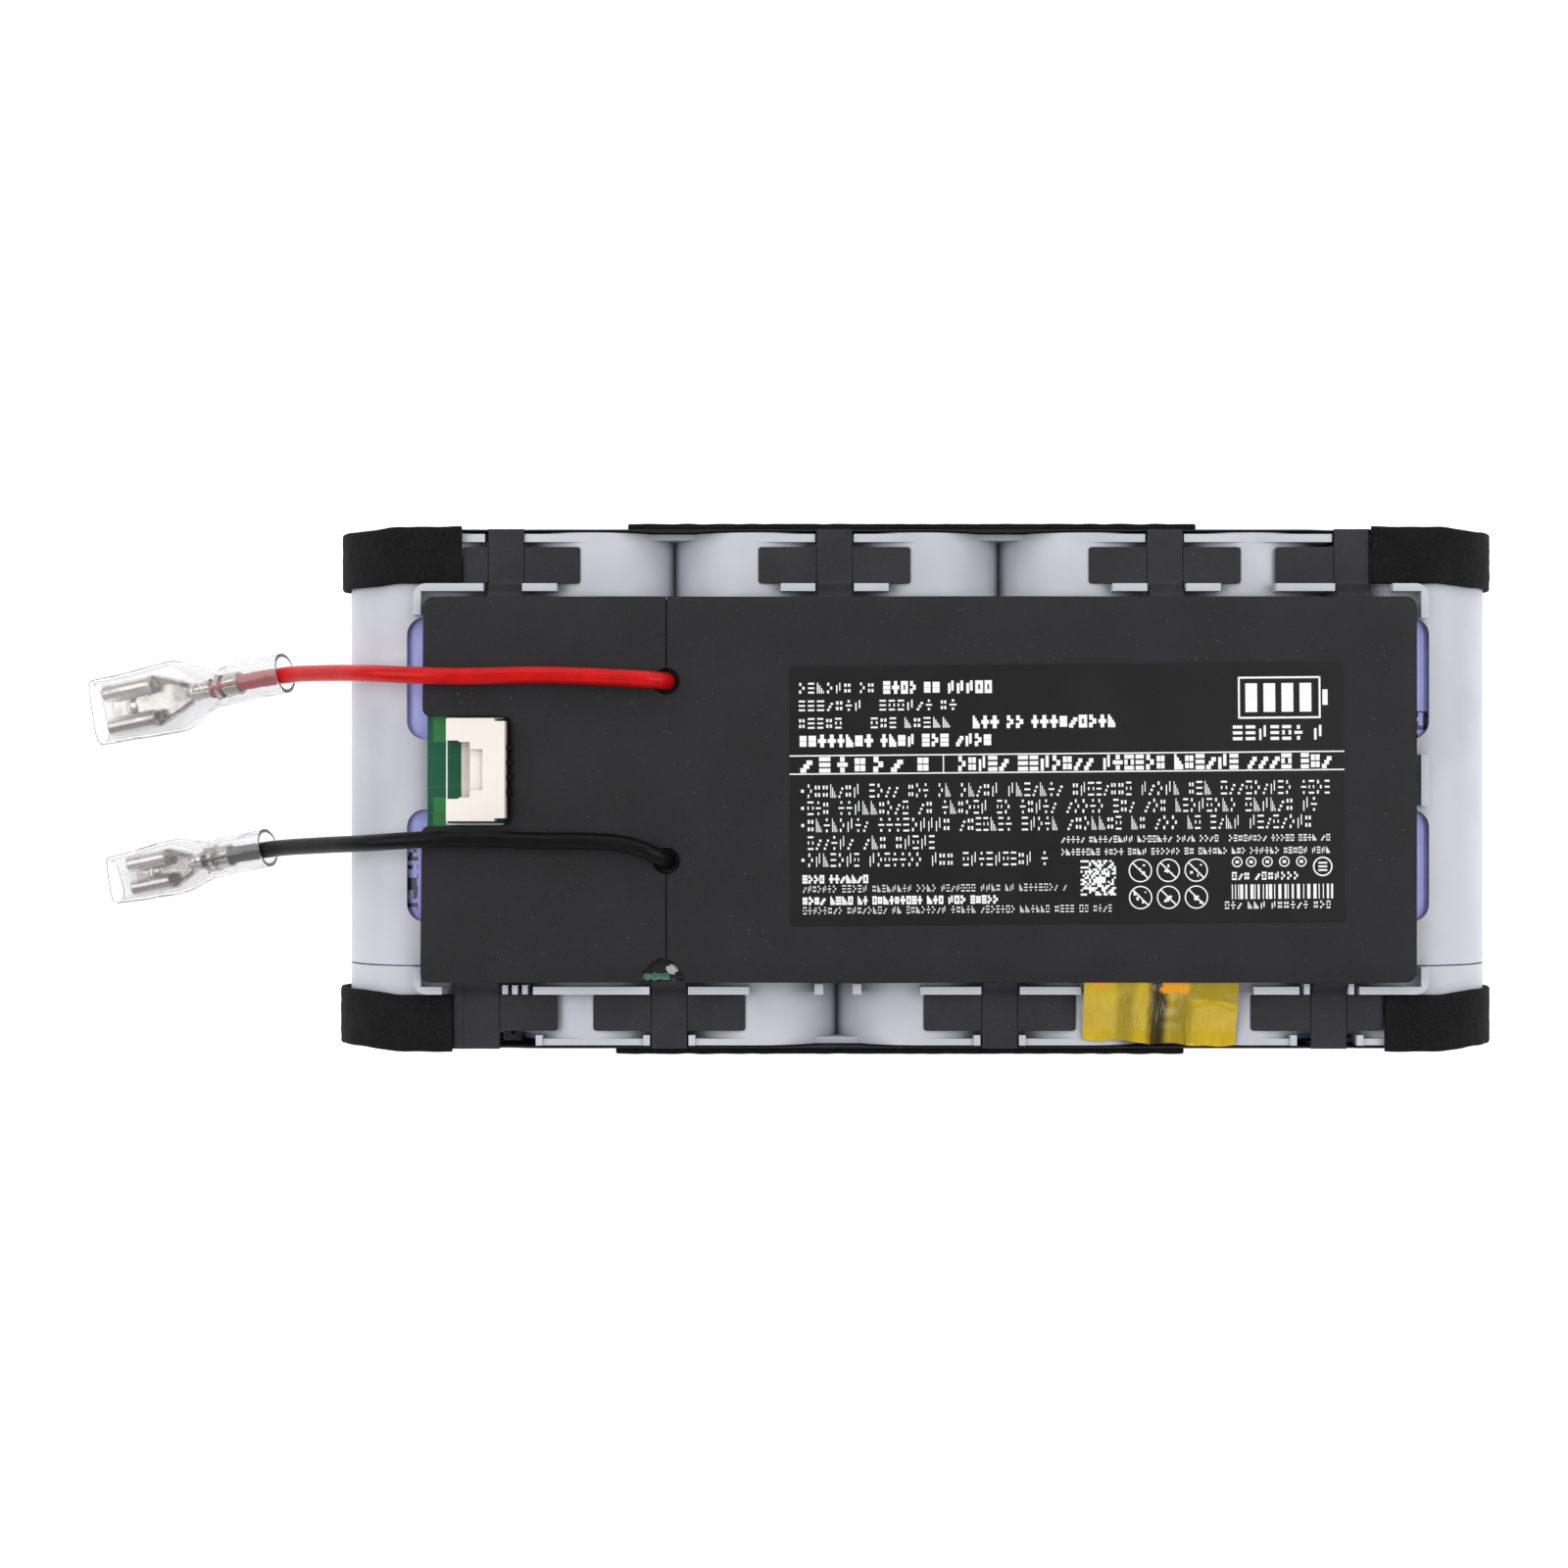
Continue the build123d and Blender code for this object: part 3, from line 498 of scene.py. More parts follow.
@dataclass(frozen=True)
class InsulatingPaper(Finish):
    """Black vulcanised paper: matt, with short fibres, faint rubs and small pale scuffs.

    A perforated card has two lines of cuts, cut_reach mm from its middle. One starts every cut_step mm, and
    takes cut_share of the step.
    """

    colour: tuple = (0.0062, 0.0058, 0.0074, 1.0)
    roughness: float = 0.55
    perforated: bool = False
    cut_reach: float = 2.45
    cut_step: float = 0.78
    cut_share: float = 0.55

    def paint(self, shader: Shader) -> bpy.types.Material:
        """Fibre bump, cloudy sheen, and scuffs where a sparse noise is high.

        Args:
            shader: Empty shader to write to.

        Returns:
            The material.
        """
        place = shader.object_place()
        fibre = shader.noise(shader.stretch(place, (0.35, 1.0, 1.0)), 0.10, 3.0, 0.7)
        cross = shader.noise(shader.stretch(place, (1.0, 0.35, 1.0)), 0.12, 3.0, 0.7)
        cloud = shader.noise(place, 9.0, 4.0)
        rub = shader.noise(shader.stretch(place, (0.12, 1.0, 1.0)), 0.5, 3.0).between(0.66, 0.78)
        scuff = shader.noise(place, 0.32, 2.0, 0.5).between(0.745, 0.78)
        lighter, palest = (tuple(times * part for part in self.colour[:3]) + (1.0,) for times in (1.75, 3.2))
        tint = shader.mix(cloud.between(0.3, 0.75), self.colour, lighter)
        tint = shader.mix(rub * 0.35, tint, (0.045, 0.045, 0.047, 1.0))
        tint = shader.mix(scuff * 0.8, tint, grey(0.20))
        mottle = shader.noise(place, 0.28, 4.0, 0.75)
        tint = shader.mix(mottle.between(0.52, 0.72) * 0.5, tint, palest)
        height = fibre + cross + mottle * 1.5
        if self.perforated:
            across, along, _ = shader.axes(shader.surface_place())
            line = 1 - abs(abs(across) - self.cut_reach).between(0.03, 0.11)
            dash = (along / self.cut_step).fraction() < self.cut_share
            cut = line * dash
            tint = shader.mix(cut, tint, grey(0.002))
            height = height - cut * 6.0 - line * 1.5
        return shader.surface(Base_Color=tint, Roughness=self.roughness + cloud * 0.12 - rub * 0.1,
                              Specular_IOR_Level=0.40, Normal=shader.bump(height, 0.011))


@dataclass(frozen=True)
class SoftFoam(Finish):
    """Black closed-cell foam: a velvety surface of tiny pores with lint on it."""

    colour: tuple = (0.0048, 0.0048, 0.0047, 1.0)

    def paint(self, shader: Shader) -> bpy.types.Material:
        """Pores from scattered points, over a slower unevenness, with specks of lint.

        Args:
            shader: Empty shader to write to.

        Returns:
            The material.
        """
        place = shader.object_place()
        pores = shader.cells(place, 0.28)
        lumps = shader.noise(place, 0.7, 4.0, 0.7)
        cloud = shader.noise(place, 5.0, 3.0)
        lint = shader.noise(place, 0.16, 2.0).between(0.72, 0.78)
        tint = shader.mix(cloud.between(0.3, 0.7), self.colour, (0.009, 0.009, 0.0092, 1.0))
        tint = shader.mix(pores.between(0.25, 0.75) * 0.55, tint, (0.016, 0.016, 0.0163, 1.0))
        tint = shader.mix(lint * 0.6, tint, grey(0.11))
        height = pores * -0.8 + lumps
        return shader.surface(Base_Color=tint, Roughness=0.92, Specular_IOR_Level=0.15,
                              Normal=shader.bump(height, 0.16))


@dataclass(frozen=True)
class PrintedFilm(Finish):
    """Smooth satin label film with faint orange peel and dust."""

    colour: tuple = grey(0.0030)

    def paint(self, shader: Shader) -> bpy.types.Material:
        """Very shallow bump and a little change of sheen.

        Args:
            shader: Empty shader to write to.

        Returns:
            The material.
        """
        place = shader.object_place()
        peel = shader.noise(place, 0.9, 3.0)
        cloud = shader.noise(place, 11.0, 3.0)
        dust = shader.noise(place, 0.2, 2.0).between(0.75, 0.79)
        tint = shader.mix(cloud.between(0.3, 0.8), self.colour, grey(0.0050))
        tint = shader.mix(dust * 0.6, tint, grey(0.12))
        return shader.surface(Base_Color=tint, Roughness=0.34 + cloud * 0.14,
                              Specular_IOR_Level=0.36, Normal=shader.bump(peel, 0.008))


@dataclass(frozen=True)
class PrintInk(Finish):
    """White printing ink, slightly uneven in cover."""

    colour: tuple = linear(252, 252, 252)

    def paint(self, shader: Shader) -> bpy.types.Material:
        """White with small thin spots.

        Args:
            shader: Empty shader to write to.

        Returns:
            The material.
        """
        place = shader.object_place()
        thin = shader.noise(place, 0.16, 3.0).between(0.35, 0.75)
        tint = shader.mix(thin * 0.18, self.colour, linear(180, 180, 180))
        return shader.surface(Base_Color=tint, Roughness=0.42 + thin * 0.1, Normal=shader.bump(thin, 0.004))


@dataclass(frozen=True)
class WireInsulation(Finish):
    """Soft glossy wire insulation with shallow marks from its strands."""

    colour: tuple = (0.62, 0.0045, 0.0045, 1.0)
    deep: tuple = (0.50, 0.0025, 0.0025, 1.0)
    roughness: float = 0.24
    gloss: float = 0.20

    def paint(self, shader: Shader) -> bpy.types.Material:
        """Two shades of one colour, long dents and fine grain.

        Args:
            shader: Empty shader to write to.

        Returns:
            The material.
        """
        place = shader.object_place()
        cloud = shader.noise(place, 3.0, 3.0)
        dents = shader.noise(shader.stretch(place, (0.3, 1.0, 1.0)), 0.8, 2.0)
        grain = shader.noise(place, 0.12, 2.0)
        tint = shader.mix(cloud.between(0.3, 0.7), self.colour, self.deep)
        return shader.surface(Base_Color=tint, Roughness=self.roughness + cloud * 0.10,
                              Specular_IOR_Level=self.gloss,
                              Normal=shader.bump(dents + grain * 0.3, 0.05, 0.6))


@dataclass(frozen=True)
class ClearVinyl(Finish):
    """Clear soft vinyl that bends light: bright seen square on, grey at its rims and wrinkles, the grey at
    the rims being painted shade.
    """

    def paint(self, shader: Shader) -> bpy.types.Material:
        """Nearly colourless, with a little painted shade greying it towards its rims; wrinkles run along the
        sleeve.

        Args:
            shader: Empty shader to write to.

        Returns:
            The material.
        """
        place = shader.object_place()
        streak = shader.noise(shader.stretch(place, (0.35, 1.0, 1.0)), 1.5, 3.0, 0.5)
        haze = shader.noise(place, 4.0, 3.0)
        # painted shade: the colour greys where the surface turns edge-on to the view
        rim = shader.facing(0.3)
        tint = shader.mix(rim.between(0.25, 0.85), linear(244, 244, 245), linear(76, 78, 82))
        return shader.surface(Base_Color=tint, Roughness=0.03 + haze * 0.05, IOR=1.40,
                              Transmission_Weight=0.93, Normal=shader.bump(streak, 0.14, 0.7))


@dataclass(frozen=True)
class BrightMetal(Finish):
    """Plated metal strip with rolling lines, stains and fine scratches."""

    colour: tuple = linear(206, 203, 198)
    stain: tuple = linear(170, 164, 154)
    roughness: float = 0.24
    rolled: tuple = (1.0, 0.08, 1.0)

    def paint(self, shader: Shader) -> bpy.types.Material:
        """Rolling lines stretch along one axis, and stains change colour and sheen together.

        Args:
            shader: Empty shader to write to.

        Returns:
            The material.
        """
        place = shader.object_place()
        lines = shader.noise(shader.stretch(place, self.rolled), 0.10, 3.0, 0.7)
        stain = shader.noise(place, 2.5, 4.0).between(0.45, 0.8)
        scratch = shader.noise(shader.stretch(place, (0.1, 1.0, 1.0)), 0.25, 2.0).between(0.66, 0.72)
        tint = shader.mix(stain * 0.7, self.colour, self.stain)
        return shader.surface(Base_Color=tint, Metallic=1.0,
                              Roughness=self.roughness + stain * 0.14 + scratch * 0.12,
                              Normal=shader.bump(lines - scratch * 0.6, 0.012))


@dataclass(frozen=True)
class ShrinkWrap(Finish):
    """Lavender shrink film round a cell, with a coded row of dark dots near each sight window.

    Each code is the middle and the half size of its band, across and along, in metres.
    """

    colour: tuple = linear(180, 184, 255)
    coded: bool = False
    right_code: tuple = (0.0690, 0.0083, 0.0009, 0.0024)
    left_code: tuple = (-0.0698, -0.0125, 0.0009, 0.0042)

    def paint(self, shader: Shader) -> bpy.types.Material:
        """Film with shrink ripples; the dots are random little squares inside a narrow band.

        Args:
            shader: Empty shader to write to.

        Returns:
            The material.
        """
        place = shader.object_place()
        ripple = shader.noise(shader.stretch(place, (1.0, 0.3, 1.0)), 1.4, 3.0)
        cloud = shader.noise(place, 6.0, 3.0)
        tint = shader.mix(cloud.between(0.3, 0.7), self.colour, linear(164, 167, 246))
        if self.coded:
            across, along, _ = shader.axes(place)
            right, left = ((abs(across - x) < half_x) * (abs(along - y) < half_y)
                           for x, y, half_x, half_y in (self.right_code, self.left_code))
            dots = shader.specks(place, 0.58) > 0.50
            tint = shader.mix((right + left) * dots, tint, linear(24, 24, 70))
        return shader.surface(Base_Color=tint, Roughness=0.30 + cloud * 0.1, Coat_Weight=0.3,
                              Normal=shader.bump(ripple, 0.05))


@dataclass(frozen=True)
class BoardLaminate(Finish):
    """Green circuit board: solder mask over raised copper, white outline ink, and painted shade round the
    leads and behind the header.

    Places are in metres: across is along the pack, and along is the way the cells point. The outline is its
    left, bottom and top, and a pad the middle and half height of a copper area.
    """

    outline: tuple = (-0.06457, -0.0048, 0.0096)
    outline_end: float = -0.0560
    outline_half: float = 0.00011
    pad_middle: float = -0.0655
    pad_half: float = 0.00092
    pads: tuple = ((0.0082, 0.0018), (-0.0031, 0.0020))
    slit: float = -0.0346
    header_back: float = -0.0545
    trace_step: float = 0.0034

    def paint(self, shader: Shader) -> bpy.types.Material:
        """Copper shows as paler areas beside the header and as thin slow bands; the outline is a thin
        white line; painted shade darkens the board in a band round each lead and under the slits, and in a
        band behind the header.

        Args:
            shader: Empty shader to write to.

        Returns:
            The material.
        """
        place = shader.object_place()
        across, along, _ = shader.axes(place)
        weave = shader.noise(place, 0.3, 3.0)
        winding = along / self.trace_step + shader.noise(place, 16.0, 1.0) * 2.0
        trace = abs(winding.fraction() - 0.5).between(0.44, 0.47)
        upper, lower = ((abs(along - middle) < half) * (abs(across - self.pad_middle) < self.pad_half)
                        for middle, half in self.pads)
        copper = upper + lower
        left, bottom, top = self.outline
        upright = (abs(across - left) < self.outline_half) * (along > bottom) * (along < top)
        level = (abs(along - top) < self.outline_half) + (abs(along - bottom) < self.outline_half)
        inked = upright + level * (across > left) * (across < self.outline_end)
        # slit and behind are masks of painted shade: 0 near the slit line and near header_back, 1 away from
        # them
        slit = abs(across - self.slit).between(0.0030, 0.0036)
        behind = abs(across - self.header_back).between(0.0021, 0.0026)
        tint = shader.mix(weave * 0.35, linear(16, 92, 66), linear(10, 70, 50))
        tint = shader.mix(trace * 0.35, tint, linear(40, 112, 76))
        tint = shader.mix(copper, tint, linear(48, 128, 66))
        tint = shader.mix(inked, tint, linear(236, 240, 238))
        # painted shade: near black in a band about 3 mm each side of the slit line, round both leads, under
        # the paper's slits
        edge = along.between(-0.0246, -0.0242)
        tint = shader.mix((1 - slit) * edge, tint, grey(0.004))
        # painted shade: near black in a band about 2 mm each side of header_back, in the gap behind the
        # header
        tint = shader.mix(1 - behind, tint, grey(0.004))
        return shader.surface(Base_Color=tint, Roughness=0.34 + weave * 0.12, Specular_IOR_Level=0.35,
                              Normal=shader.bump(trace + weave * 0.3 + copper * 0.6, 0.03))


@dataclass(frozen=True)
class AmberFilm(Finish):
    """Amber polyimide tape: glossy film that lets a little light through, orange where it is doubled.

    Places are along the pack, in mm.
    """

    crinkle_at: float = 23.2
    left_fold_at: float = 24.3
    left_dip_at: float = 27.9
    valley_at: float = 32.4
    doubled_at: float = 34.6
    right_dip_at: float = 35.6

    def paint(self, shader: Shader) -> bpy.types.Material:
        """Colour deepens in streaks and dips, is orange at the doubled patches, and is dark in the valley,
        partly from the black leads under the film and partly from painted shade.

        Args:
            shader: Empty shader to write to.

        Returns:
            The material.
        """
        place = shader.object_place()
        across, along, _ = shader.axes(shader.surface_place())
        streak = shader.noise(shader.stretch(place, (1.0, 0.12, 1.0)), 1.1, 3.0, 0.6)
        ragged = shader.noise(place, 1.2, 3.0) * 2.4 - 1.2
        doubled = 1 - abs(across - self.doubled_at + ragged).between(1.7, 2.2)
        doubled = doubled * (1 - (along + ragged * 0.5).between(1.0, 1.5))
        left_fold = 1 - abs(across - self.left_fold_at + ragged).between(0.9, 1.2)
        left_fold = left_fold * (1 - along.between(0.3, 0.6))
        # valley: the dark band over the sensor's black leads, partly painted shade
        valley = 1 - abs(across - self.valley_at + ragged * 0.2).between(0.6, 1.9)
        slant = along - (across - 36.0) * 0.12 + ragged * 0.3
        olive = across.between(36.2, 37.2) * (1 - slant.between(1.6, 2.2))
        tint = shader.mix(streak.between(0.3, 0.75) * 0.5, linear(222, 190, 24), linear(194, 160, 12))
        left_dip = 1 - abs(across - self.left_dip_at).between(0.7, 1.9)
        band = left_dip + (1 - abs(across - self.right_dip_at).between(0.6, 2.0))
        tint = shader.mix(band * 0.55, tint, linear(150, 132, 22))
        tint = shader.mix(olive * 0.6, tint, linear(136, 124, 20))
        # painted shade in the valley, over the black leads that lie under the film
        tint = shader.mix(valley * 0.95, tint, linear(38, 33, 9))
        tint = shader.mix(doubled + left_fold, tint, linear(255, 172, 6))
        crinkle = shader.noise(place, 0.6, 2.0) * (1 - abs(across - self.crinkle_at).between(0.6, 1.2))
        return shader.surface(Base_Color=tint, Roughness=0.05 + streak * 0.04, IOR=1.5,
                              Transmission_Weight=0.15, Coat_Weight=0.4,
                              Normal=shader.bump(streak * 0.05 + crinkle, 0.35, 0.8))


@dataclass(frozen=True)
class PottedResin(Finish):
    """Glossy dark or pale set resin, or a chip's moulded body, with a slight grain."""

    colour: tuple = (0.011, 0.011, 0.012, 1.0)
    shade: tuple = (0.02, 0.02, 0.021, 1.0)
    roughness: float = 0.4
    grain: float = 0.25

    def paint(self, shader: Shader) -> bpy.types.Material:
        """Two near shades in clouds, over a fine grain.

        Args:
            shader: Empty shader to write to.

        Returns:
            The material.
        """
        place = shader.object_place()
        cloud = shader.noise(place, 2.0, 3.0)
        grain = shader.noise(place, self.grain, 3.0)
        tint = shader.mix(cloud.between(0.3, 0.7), self.colour, self.shade)
        return shader.surface(Base_Color=tint, Roughness=self.roughness + grain * 0.12,
                              Normal=shader.bump(grain, 0.02))


@dataclass(frozen=True)
class StudioFloor(Finish):
    """Plain white sweep that glows a little, as a lit table does. It belongs to no slot of the record."""

    def paint(self, shader: Shader) -> bpy.types.Material:
        """White with a barely uneven sheen.

        Args:
            shader: Empty shader to write to.

        Returns:
            The material.
        """
        grain = shader.noise(shader.object_place(), 40.0, 2.0)
        tint = shader.mix(grain, grey(0.92), grey(0.90))
        return shader.surface(Base_Color=tint, Roughness=0.9, Specular_IOR_Level=0.1,
                              Emission_Color=grey(1.0), Emission_Strength=0.62)


HOLDER = MouldedPlastic("holder_grey", "holder_plastic")
PAPER = InsulatingPaper("black_paper", "insulator_paper")
CARD = InsulatingPaper("black_card", "insulator_paper", colour=(0.0125, 0.0120, 0.0150, 1.0), roughness=0.5,
                       perforated=True)
FOAM = SoftFoam("soft_foam", "black_foam")
FILM = PrintedFilm("label_black", "label_film")
INK = PrintInk("label_print", "label_film")
RED = WireInsulation("red_insulation", "red_insulation")
BLACK = WireInsulation("black_insulation", "black_insulation", colour=(0.0045, 0.0046, 0.0052, 1.0),
                       deep=(0.0025, 0.0025, 0.0030, 1.0), roughness=0.30, gloss=0.14)
VINYL = ClearVinyl("clear_vinyl", "clear_sleeve")
BRASS = BrightMetal("tinned_brass", "tinned_brass", colour=linear(206, 202, 196),
                    stain=linear(160, 156, 150), roughness=0.22)
# header pins: a near-black copy of the plated metal, painted shade for pins that sit in the dark gap under
# the cover's edge
PINS_IN_PAINTED_SHADE = BrightMetal("pins_painted_shade", "brass_terminal", colour=linear(46, 44, 42),
                   stain=linear(28, 27, 26), roughness=0.6)
NICKEL = BrightMetal("nickel_strip", "nickel_strip", colour=linear(192, 188, 178),
                     stain=linear(160, 154, 142), roughness=0.3)
STEEL = BrightMetal("cell_can", "cell_steel", colour=linear(180, 180, 182),
                    stain=linear(140, 140, 144), roughness=0.32)
WRAP = ShrinkWrap("cell_wrap", "cell_wrap_film")
CODED_WRAP = ShrinkWrap("coded_cell_wrap", "cell_wrap_film", coded=True)
LAMINATE = BoardLaminate("board_green", "board_laminate")
NYLON = MouldedPlastic("header_cream", "header_nylon", colour=linear(246, 239, 230),
                       shade=linear(238, 229, 218), roughness=0.45, grain=0.25, depth=0.008)
AMBER = AmberFilm("amber_film", "amber_tape")
CHIP = PottedResin("moulded_black", "component_black")
EPOXY = PottedResin("sensor_resin", "sensor_epoxy", colour=grey(0.02), shade=(0.035, 0.034, 0.032, 1.0),
                    roughness=0.25)
CHIPPED = PottedResin("chipped_green", "board_laminate", colour=linear(12, 84, 60),
                      shade=linear(96, 140, 118), roughness=0.35, grain=0.5)
GLUE = PottedResin("pale_glue", "white_adhesive", colour=linear(186, 190, 188), shade=linear(150, 158, 154),
                   roughness=0.28, grain=0.6)
FIBRE_RING = InsulatingPaper("ring_card", "insulator_paper", colour=linear(200, 196, 180), roughness=0.7)
FLOOR = StudioFloor("floor_white", "no_slot")


# ================================================================ what stays from the frame
@dataclass
class FrameParts:
    """The frame's own parts that keep their shape and take a finish."""

    cells: int = 7

    def dress(self) -> None:
        """Gives every frame part its finish; parts that a piece replaces keep theirs underneath."""
        plain = {
            "holder_main": HOLDER, "holder_end_cap": HOLDER, "circuit_board": LAMINATE,
            "header_housing": NYLON, "header_pins": PINS_IN_PAINTED_SHADE, "cell_insulator_rings": FIBRE_RING,
            "power_transistors": CHIP, "control_chip": CHIP, "sense_resistor": CHIP, "chip_resistors": CHIP,
            "thermistor_bead": EPOXY, "thermistor_leads": BLACK, "thermistor_tape": AMBER,
            "board_cover": PAPER, "rating_label": FILM, "adhesive_dab": GLUE,
            "positive_lead": RED, "negative_lead": BLACK,
            "positive_terminal": BRASS, "negative_terminal": BRASS,
            "positive_sleeve": VINYL, "negative_sleeve": VINYL,
        }
        for name, node in sorted(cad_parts.items()):
            finish = plain.get(name) or self.finish_by_family(name)
            node.data.materials.clear()
            node.data.materials.append(finish.material())
            log.info("%s: frame part in %s", name, finish.name)

    def finish_by_family(self, name: str) -> Finish:
        """Finish of a part that belongs to a family of like parts.

        Args:
            name: Name of the frame part.

        Returns:
            Its finish.
        """
        if name.startswith("cell_wrap"):
            return CODED_WRAP if name in ("cell_wrap_1", f"cell_wrap_{self.cells}") else WRAP
        if name.startswith("cell_"):
            return STEEL
        if "foam" in name:
            return FOAM
        if "paper" in name or "insulator" in name:
            return PAPER
        return NICKEL


# ================================================================ leads, terminals and sleeves
class Spread(Enum):
    """How wide a push-on receptacle is."""

    WIDE = (7.4, 8.2, 2.6)
    NARROW = (5.8, 6.6, 2.4)


@dataclass
class PowerLead:
    """One power lead with its crimped receptacle and clear sleeve.

    Sizes are in mm. The route, the length and paper_top, the level where the lead comes out, are in metres.
    Crimp and grip are where each crimp starts and stops, from the sleeve's neck. The sleeve is its neck's
    width, its widest, its mouth's width, the neck's length and the taper's length.
    """

    name: str
    route: tuple
    rear: tuple
    front: tuple
    tilt: float
    lead_in: float
    crimp: tuple
    grip: tuple
    front_gap: float
    sleeve: tuple
    spread: Spread
    finish: Finish
    length: float
    stiffness: str
    diameter: float = 2.3
    sheet: float = 0.35
    strand_count: int = 7
    strand_radius: float = 0.60
    sleeve_wall: float = 0.42
    paper_top: float = 0.028

    def __post_init__(self) -> None:
        """Works out the terminal's axis, side and upper directions."""
        plan = np.array([self.front[0] - self.rear[0], self.front[1] - self.rear[1], 0.0])
        reach = float(np.linalg.norm(plan))
        plan = plan / reach
        slope = math.radians(self.tilt)
        vertical = np.array([0.0, 0.0, 1.0])
        self.along = plan * math.cos(slope) - vertical * math.sin(slope)
        self.up = plan * math.sin(slope) + vertical * math.cos(slope)
        self.side = np.cross(self.up, self.along)
        self.body_length = reach / math.cos(slope)
        self.origin = np.array(self.rear)

    def place(self, along: np.ndarray, side: np.ndarray, up: np.ndarray) -> np.ndarray:
        """Point = rear + along * axis + side * sideways + up * upwards, for whole arrays."""
        return (self.origin + along[..., None] * self.along + side[..., None] * self.side
                + up[..., None] * self.up)

    def build_lead(self) -> bpy.types.Object:
        """The insulated lead: one smooth spline with the route's points as its controls.

        Returns:
            The lead.
        """
        curve = bpy.data.curves.new(f"{self.name}_cord", "CURVE")
        curve.dimensions = "3D"
        spline = curve.splines.new("NURBS")
        spline.points.add(len(self.route) - 1)
        controls = np.ones((len(self.route), 4))
        controls[:, :3] = self.route
        spline.points.foreach_set("co", controls.ravel())
        spline.order_u = 3
        spline.use_endpoint_u = True
        spline.resolution_u = 18
        curve.bevel_depth = self.diameter / 2 * MM
        curve.bevel_resolution = 8
        curve.use_fill_caps = True
        cord = bpy.data.objects.new(f"{self.name}_cord", curve)
        bpy.context.scene.collection.objects.link(cord)
        curve.materials.append(self.finish.material())
        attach(cord, BODY)
        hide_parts(f"{self.name}_lead")
        log.info("%s_cord: %d control points", self.name, len(self.route))
        return cord

    def build_terminal(self) -> bpy.types.Object:
        """The receptacle, one strip of sheet metal rolled up across its length.

        Across the strip, a flat bottom of half width b turns up into an arc of radius r, and the strip's
        half width w says how far the arc closes. b, r, w and the bottom's height change from the insulation
        crimp and its thin band through the wire crimp and the spoon-shaped neck to the socket's rolled edges.

        Returns:
            The terminal.
        """
        width, socket, height = self.spread.value
        bend = height / 2 - self.sheet / 2
        front = self.body_length - self.front_gap
        start = front - socket
        barrel, grip = self.diameter / 2 + 0.05 + self.sheet / 2, 0.85
        flat = width / 2 - height / 2
        closed = math.pi * barrel * 0.97
        band = (self.crimp[1] + self.grip[0]) / 2 - 0.25
        stations = np.array([
            [self.crimp[0], 0.05, barrel, closed, -barrel],
            [self.crimp[1], 0.05, barrel, closed, -barrel],
            [self.crimp[1] + 0.12, 0.30, barrel, 1.5, -barrel],
            [band - 0.12, 0.30, barrel, 1.5, -barrel],
            [band, 0.05, barrel, closed, -barrel],
            [band + 0.38, 0.05, barrel, closed, -barrel],
            [band + 0.50, 0.30, barrel, 1.4, -barrel],
            [self.grip[0] - 0.1, 0.40, 1.0, 1.3, -1.0],
            [self.grip[0] + 0.1, 0.22, grip, math.pi * grip * 1.12, -0.95],
            [self.grip[1], 0.22, grip, math.pi * grip * 1.12, -0.95],
            [self.grip[1] + 0.5, 0.45, 0.9, 1.6, -1.0],
            [(self.grip[1] + start) / 2, flat * 0.62, 0.9, flat * 0.62 + 1.2, -bend],
            [start - 0.7, flat * 0.95, 1.0, flat + 1.5, -bend],
            [start, flat, bend, flat + 1.8, -bend],
            [start + 0.35, flat, bend, flat + bend * math.pi * 1.42, -bend],
            [front, flat, bend, flat + bend * math.pi * 1.42, -bend],
        ])
        rows = np.unique(np.concatenate([np.linspace(stations[0, 0], front, 130), stations[:, 0]]))
        bottom, radius, half, level = (np.interp(rows, stations[:, 0], stations[:, k])[:, None]
                                       for k in (1, 2, 3, 4))
        share = np.linspace(-1, 1, 61)[None, :]
        travel = np.abs(share) * half
        turned = np.maximum(travel - bottom, 0) / radius
        side = np.sign(share) * (np.minimum(travel, bottom) + radius * np.sin(turned))
        up = level + radius * (1 - np.cos(turned))
        dimple = 0.30 * np.exp(-(((rows[:, None] - front + 3.4) / 0.8) ** 2 + (side / 0.9) ** 2) ** 2)
        in_grip = ease((rows[:, None] - self.grip[0]) / 0.4) * ease((self.grip[1] - rows[:, None]) / 0.4)
        serration = 0.06 * np.sin(2 * np.pi * (rows[:, None] - self.grip[0]) / 0.9) * in_grip
        up = up + np.where(turned < 0.2, dimple, 0) - serration * np.sign(1 - np.cos(turned))
        along = np.broadcast_to(rows[:, None], side.shape)
        points = self.place(along, side, up).reshape(-1, 3)
        piece = make_piece(f"{self.name}_receptacle", points, [grid_faces(len(rows), 61)], BRASS)
        add_wall(piece, self.sheet, 0.0)
        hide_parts(f"{self.name}_terminal")
        return piece

    def build_strands(self) -> bpy.types.Object:
        """Bare strands between the insulation and the wire crimp: a round section with one lobe for each
        strand, radius 0.60 + 0.08 |cos| of the turned angle, twisted along its length.

        Returns:
            The strands.
        """
        rows = np.linspace(self.lead_in - 0.3, self.grip[1] + 0.9, 40)
        angle = np.linspace(0, 2 * np.pi, 56, endpoint=False)
        twist = angle[None, :] + rows[:, None] * 0.8
        radius = self.strand_radius + 0.08 * np.abs(np.cos(twist * self.strand_count / 2))
        side, up = radius * np.cos(angle), radius * np.sin(angle) - 0.1
        rings = self.place(np.broadcast_to(rows[:, None], side.shape), side, up)
        return closed_form(f"{self.name}_strands", rings, BRASS)

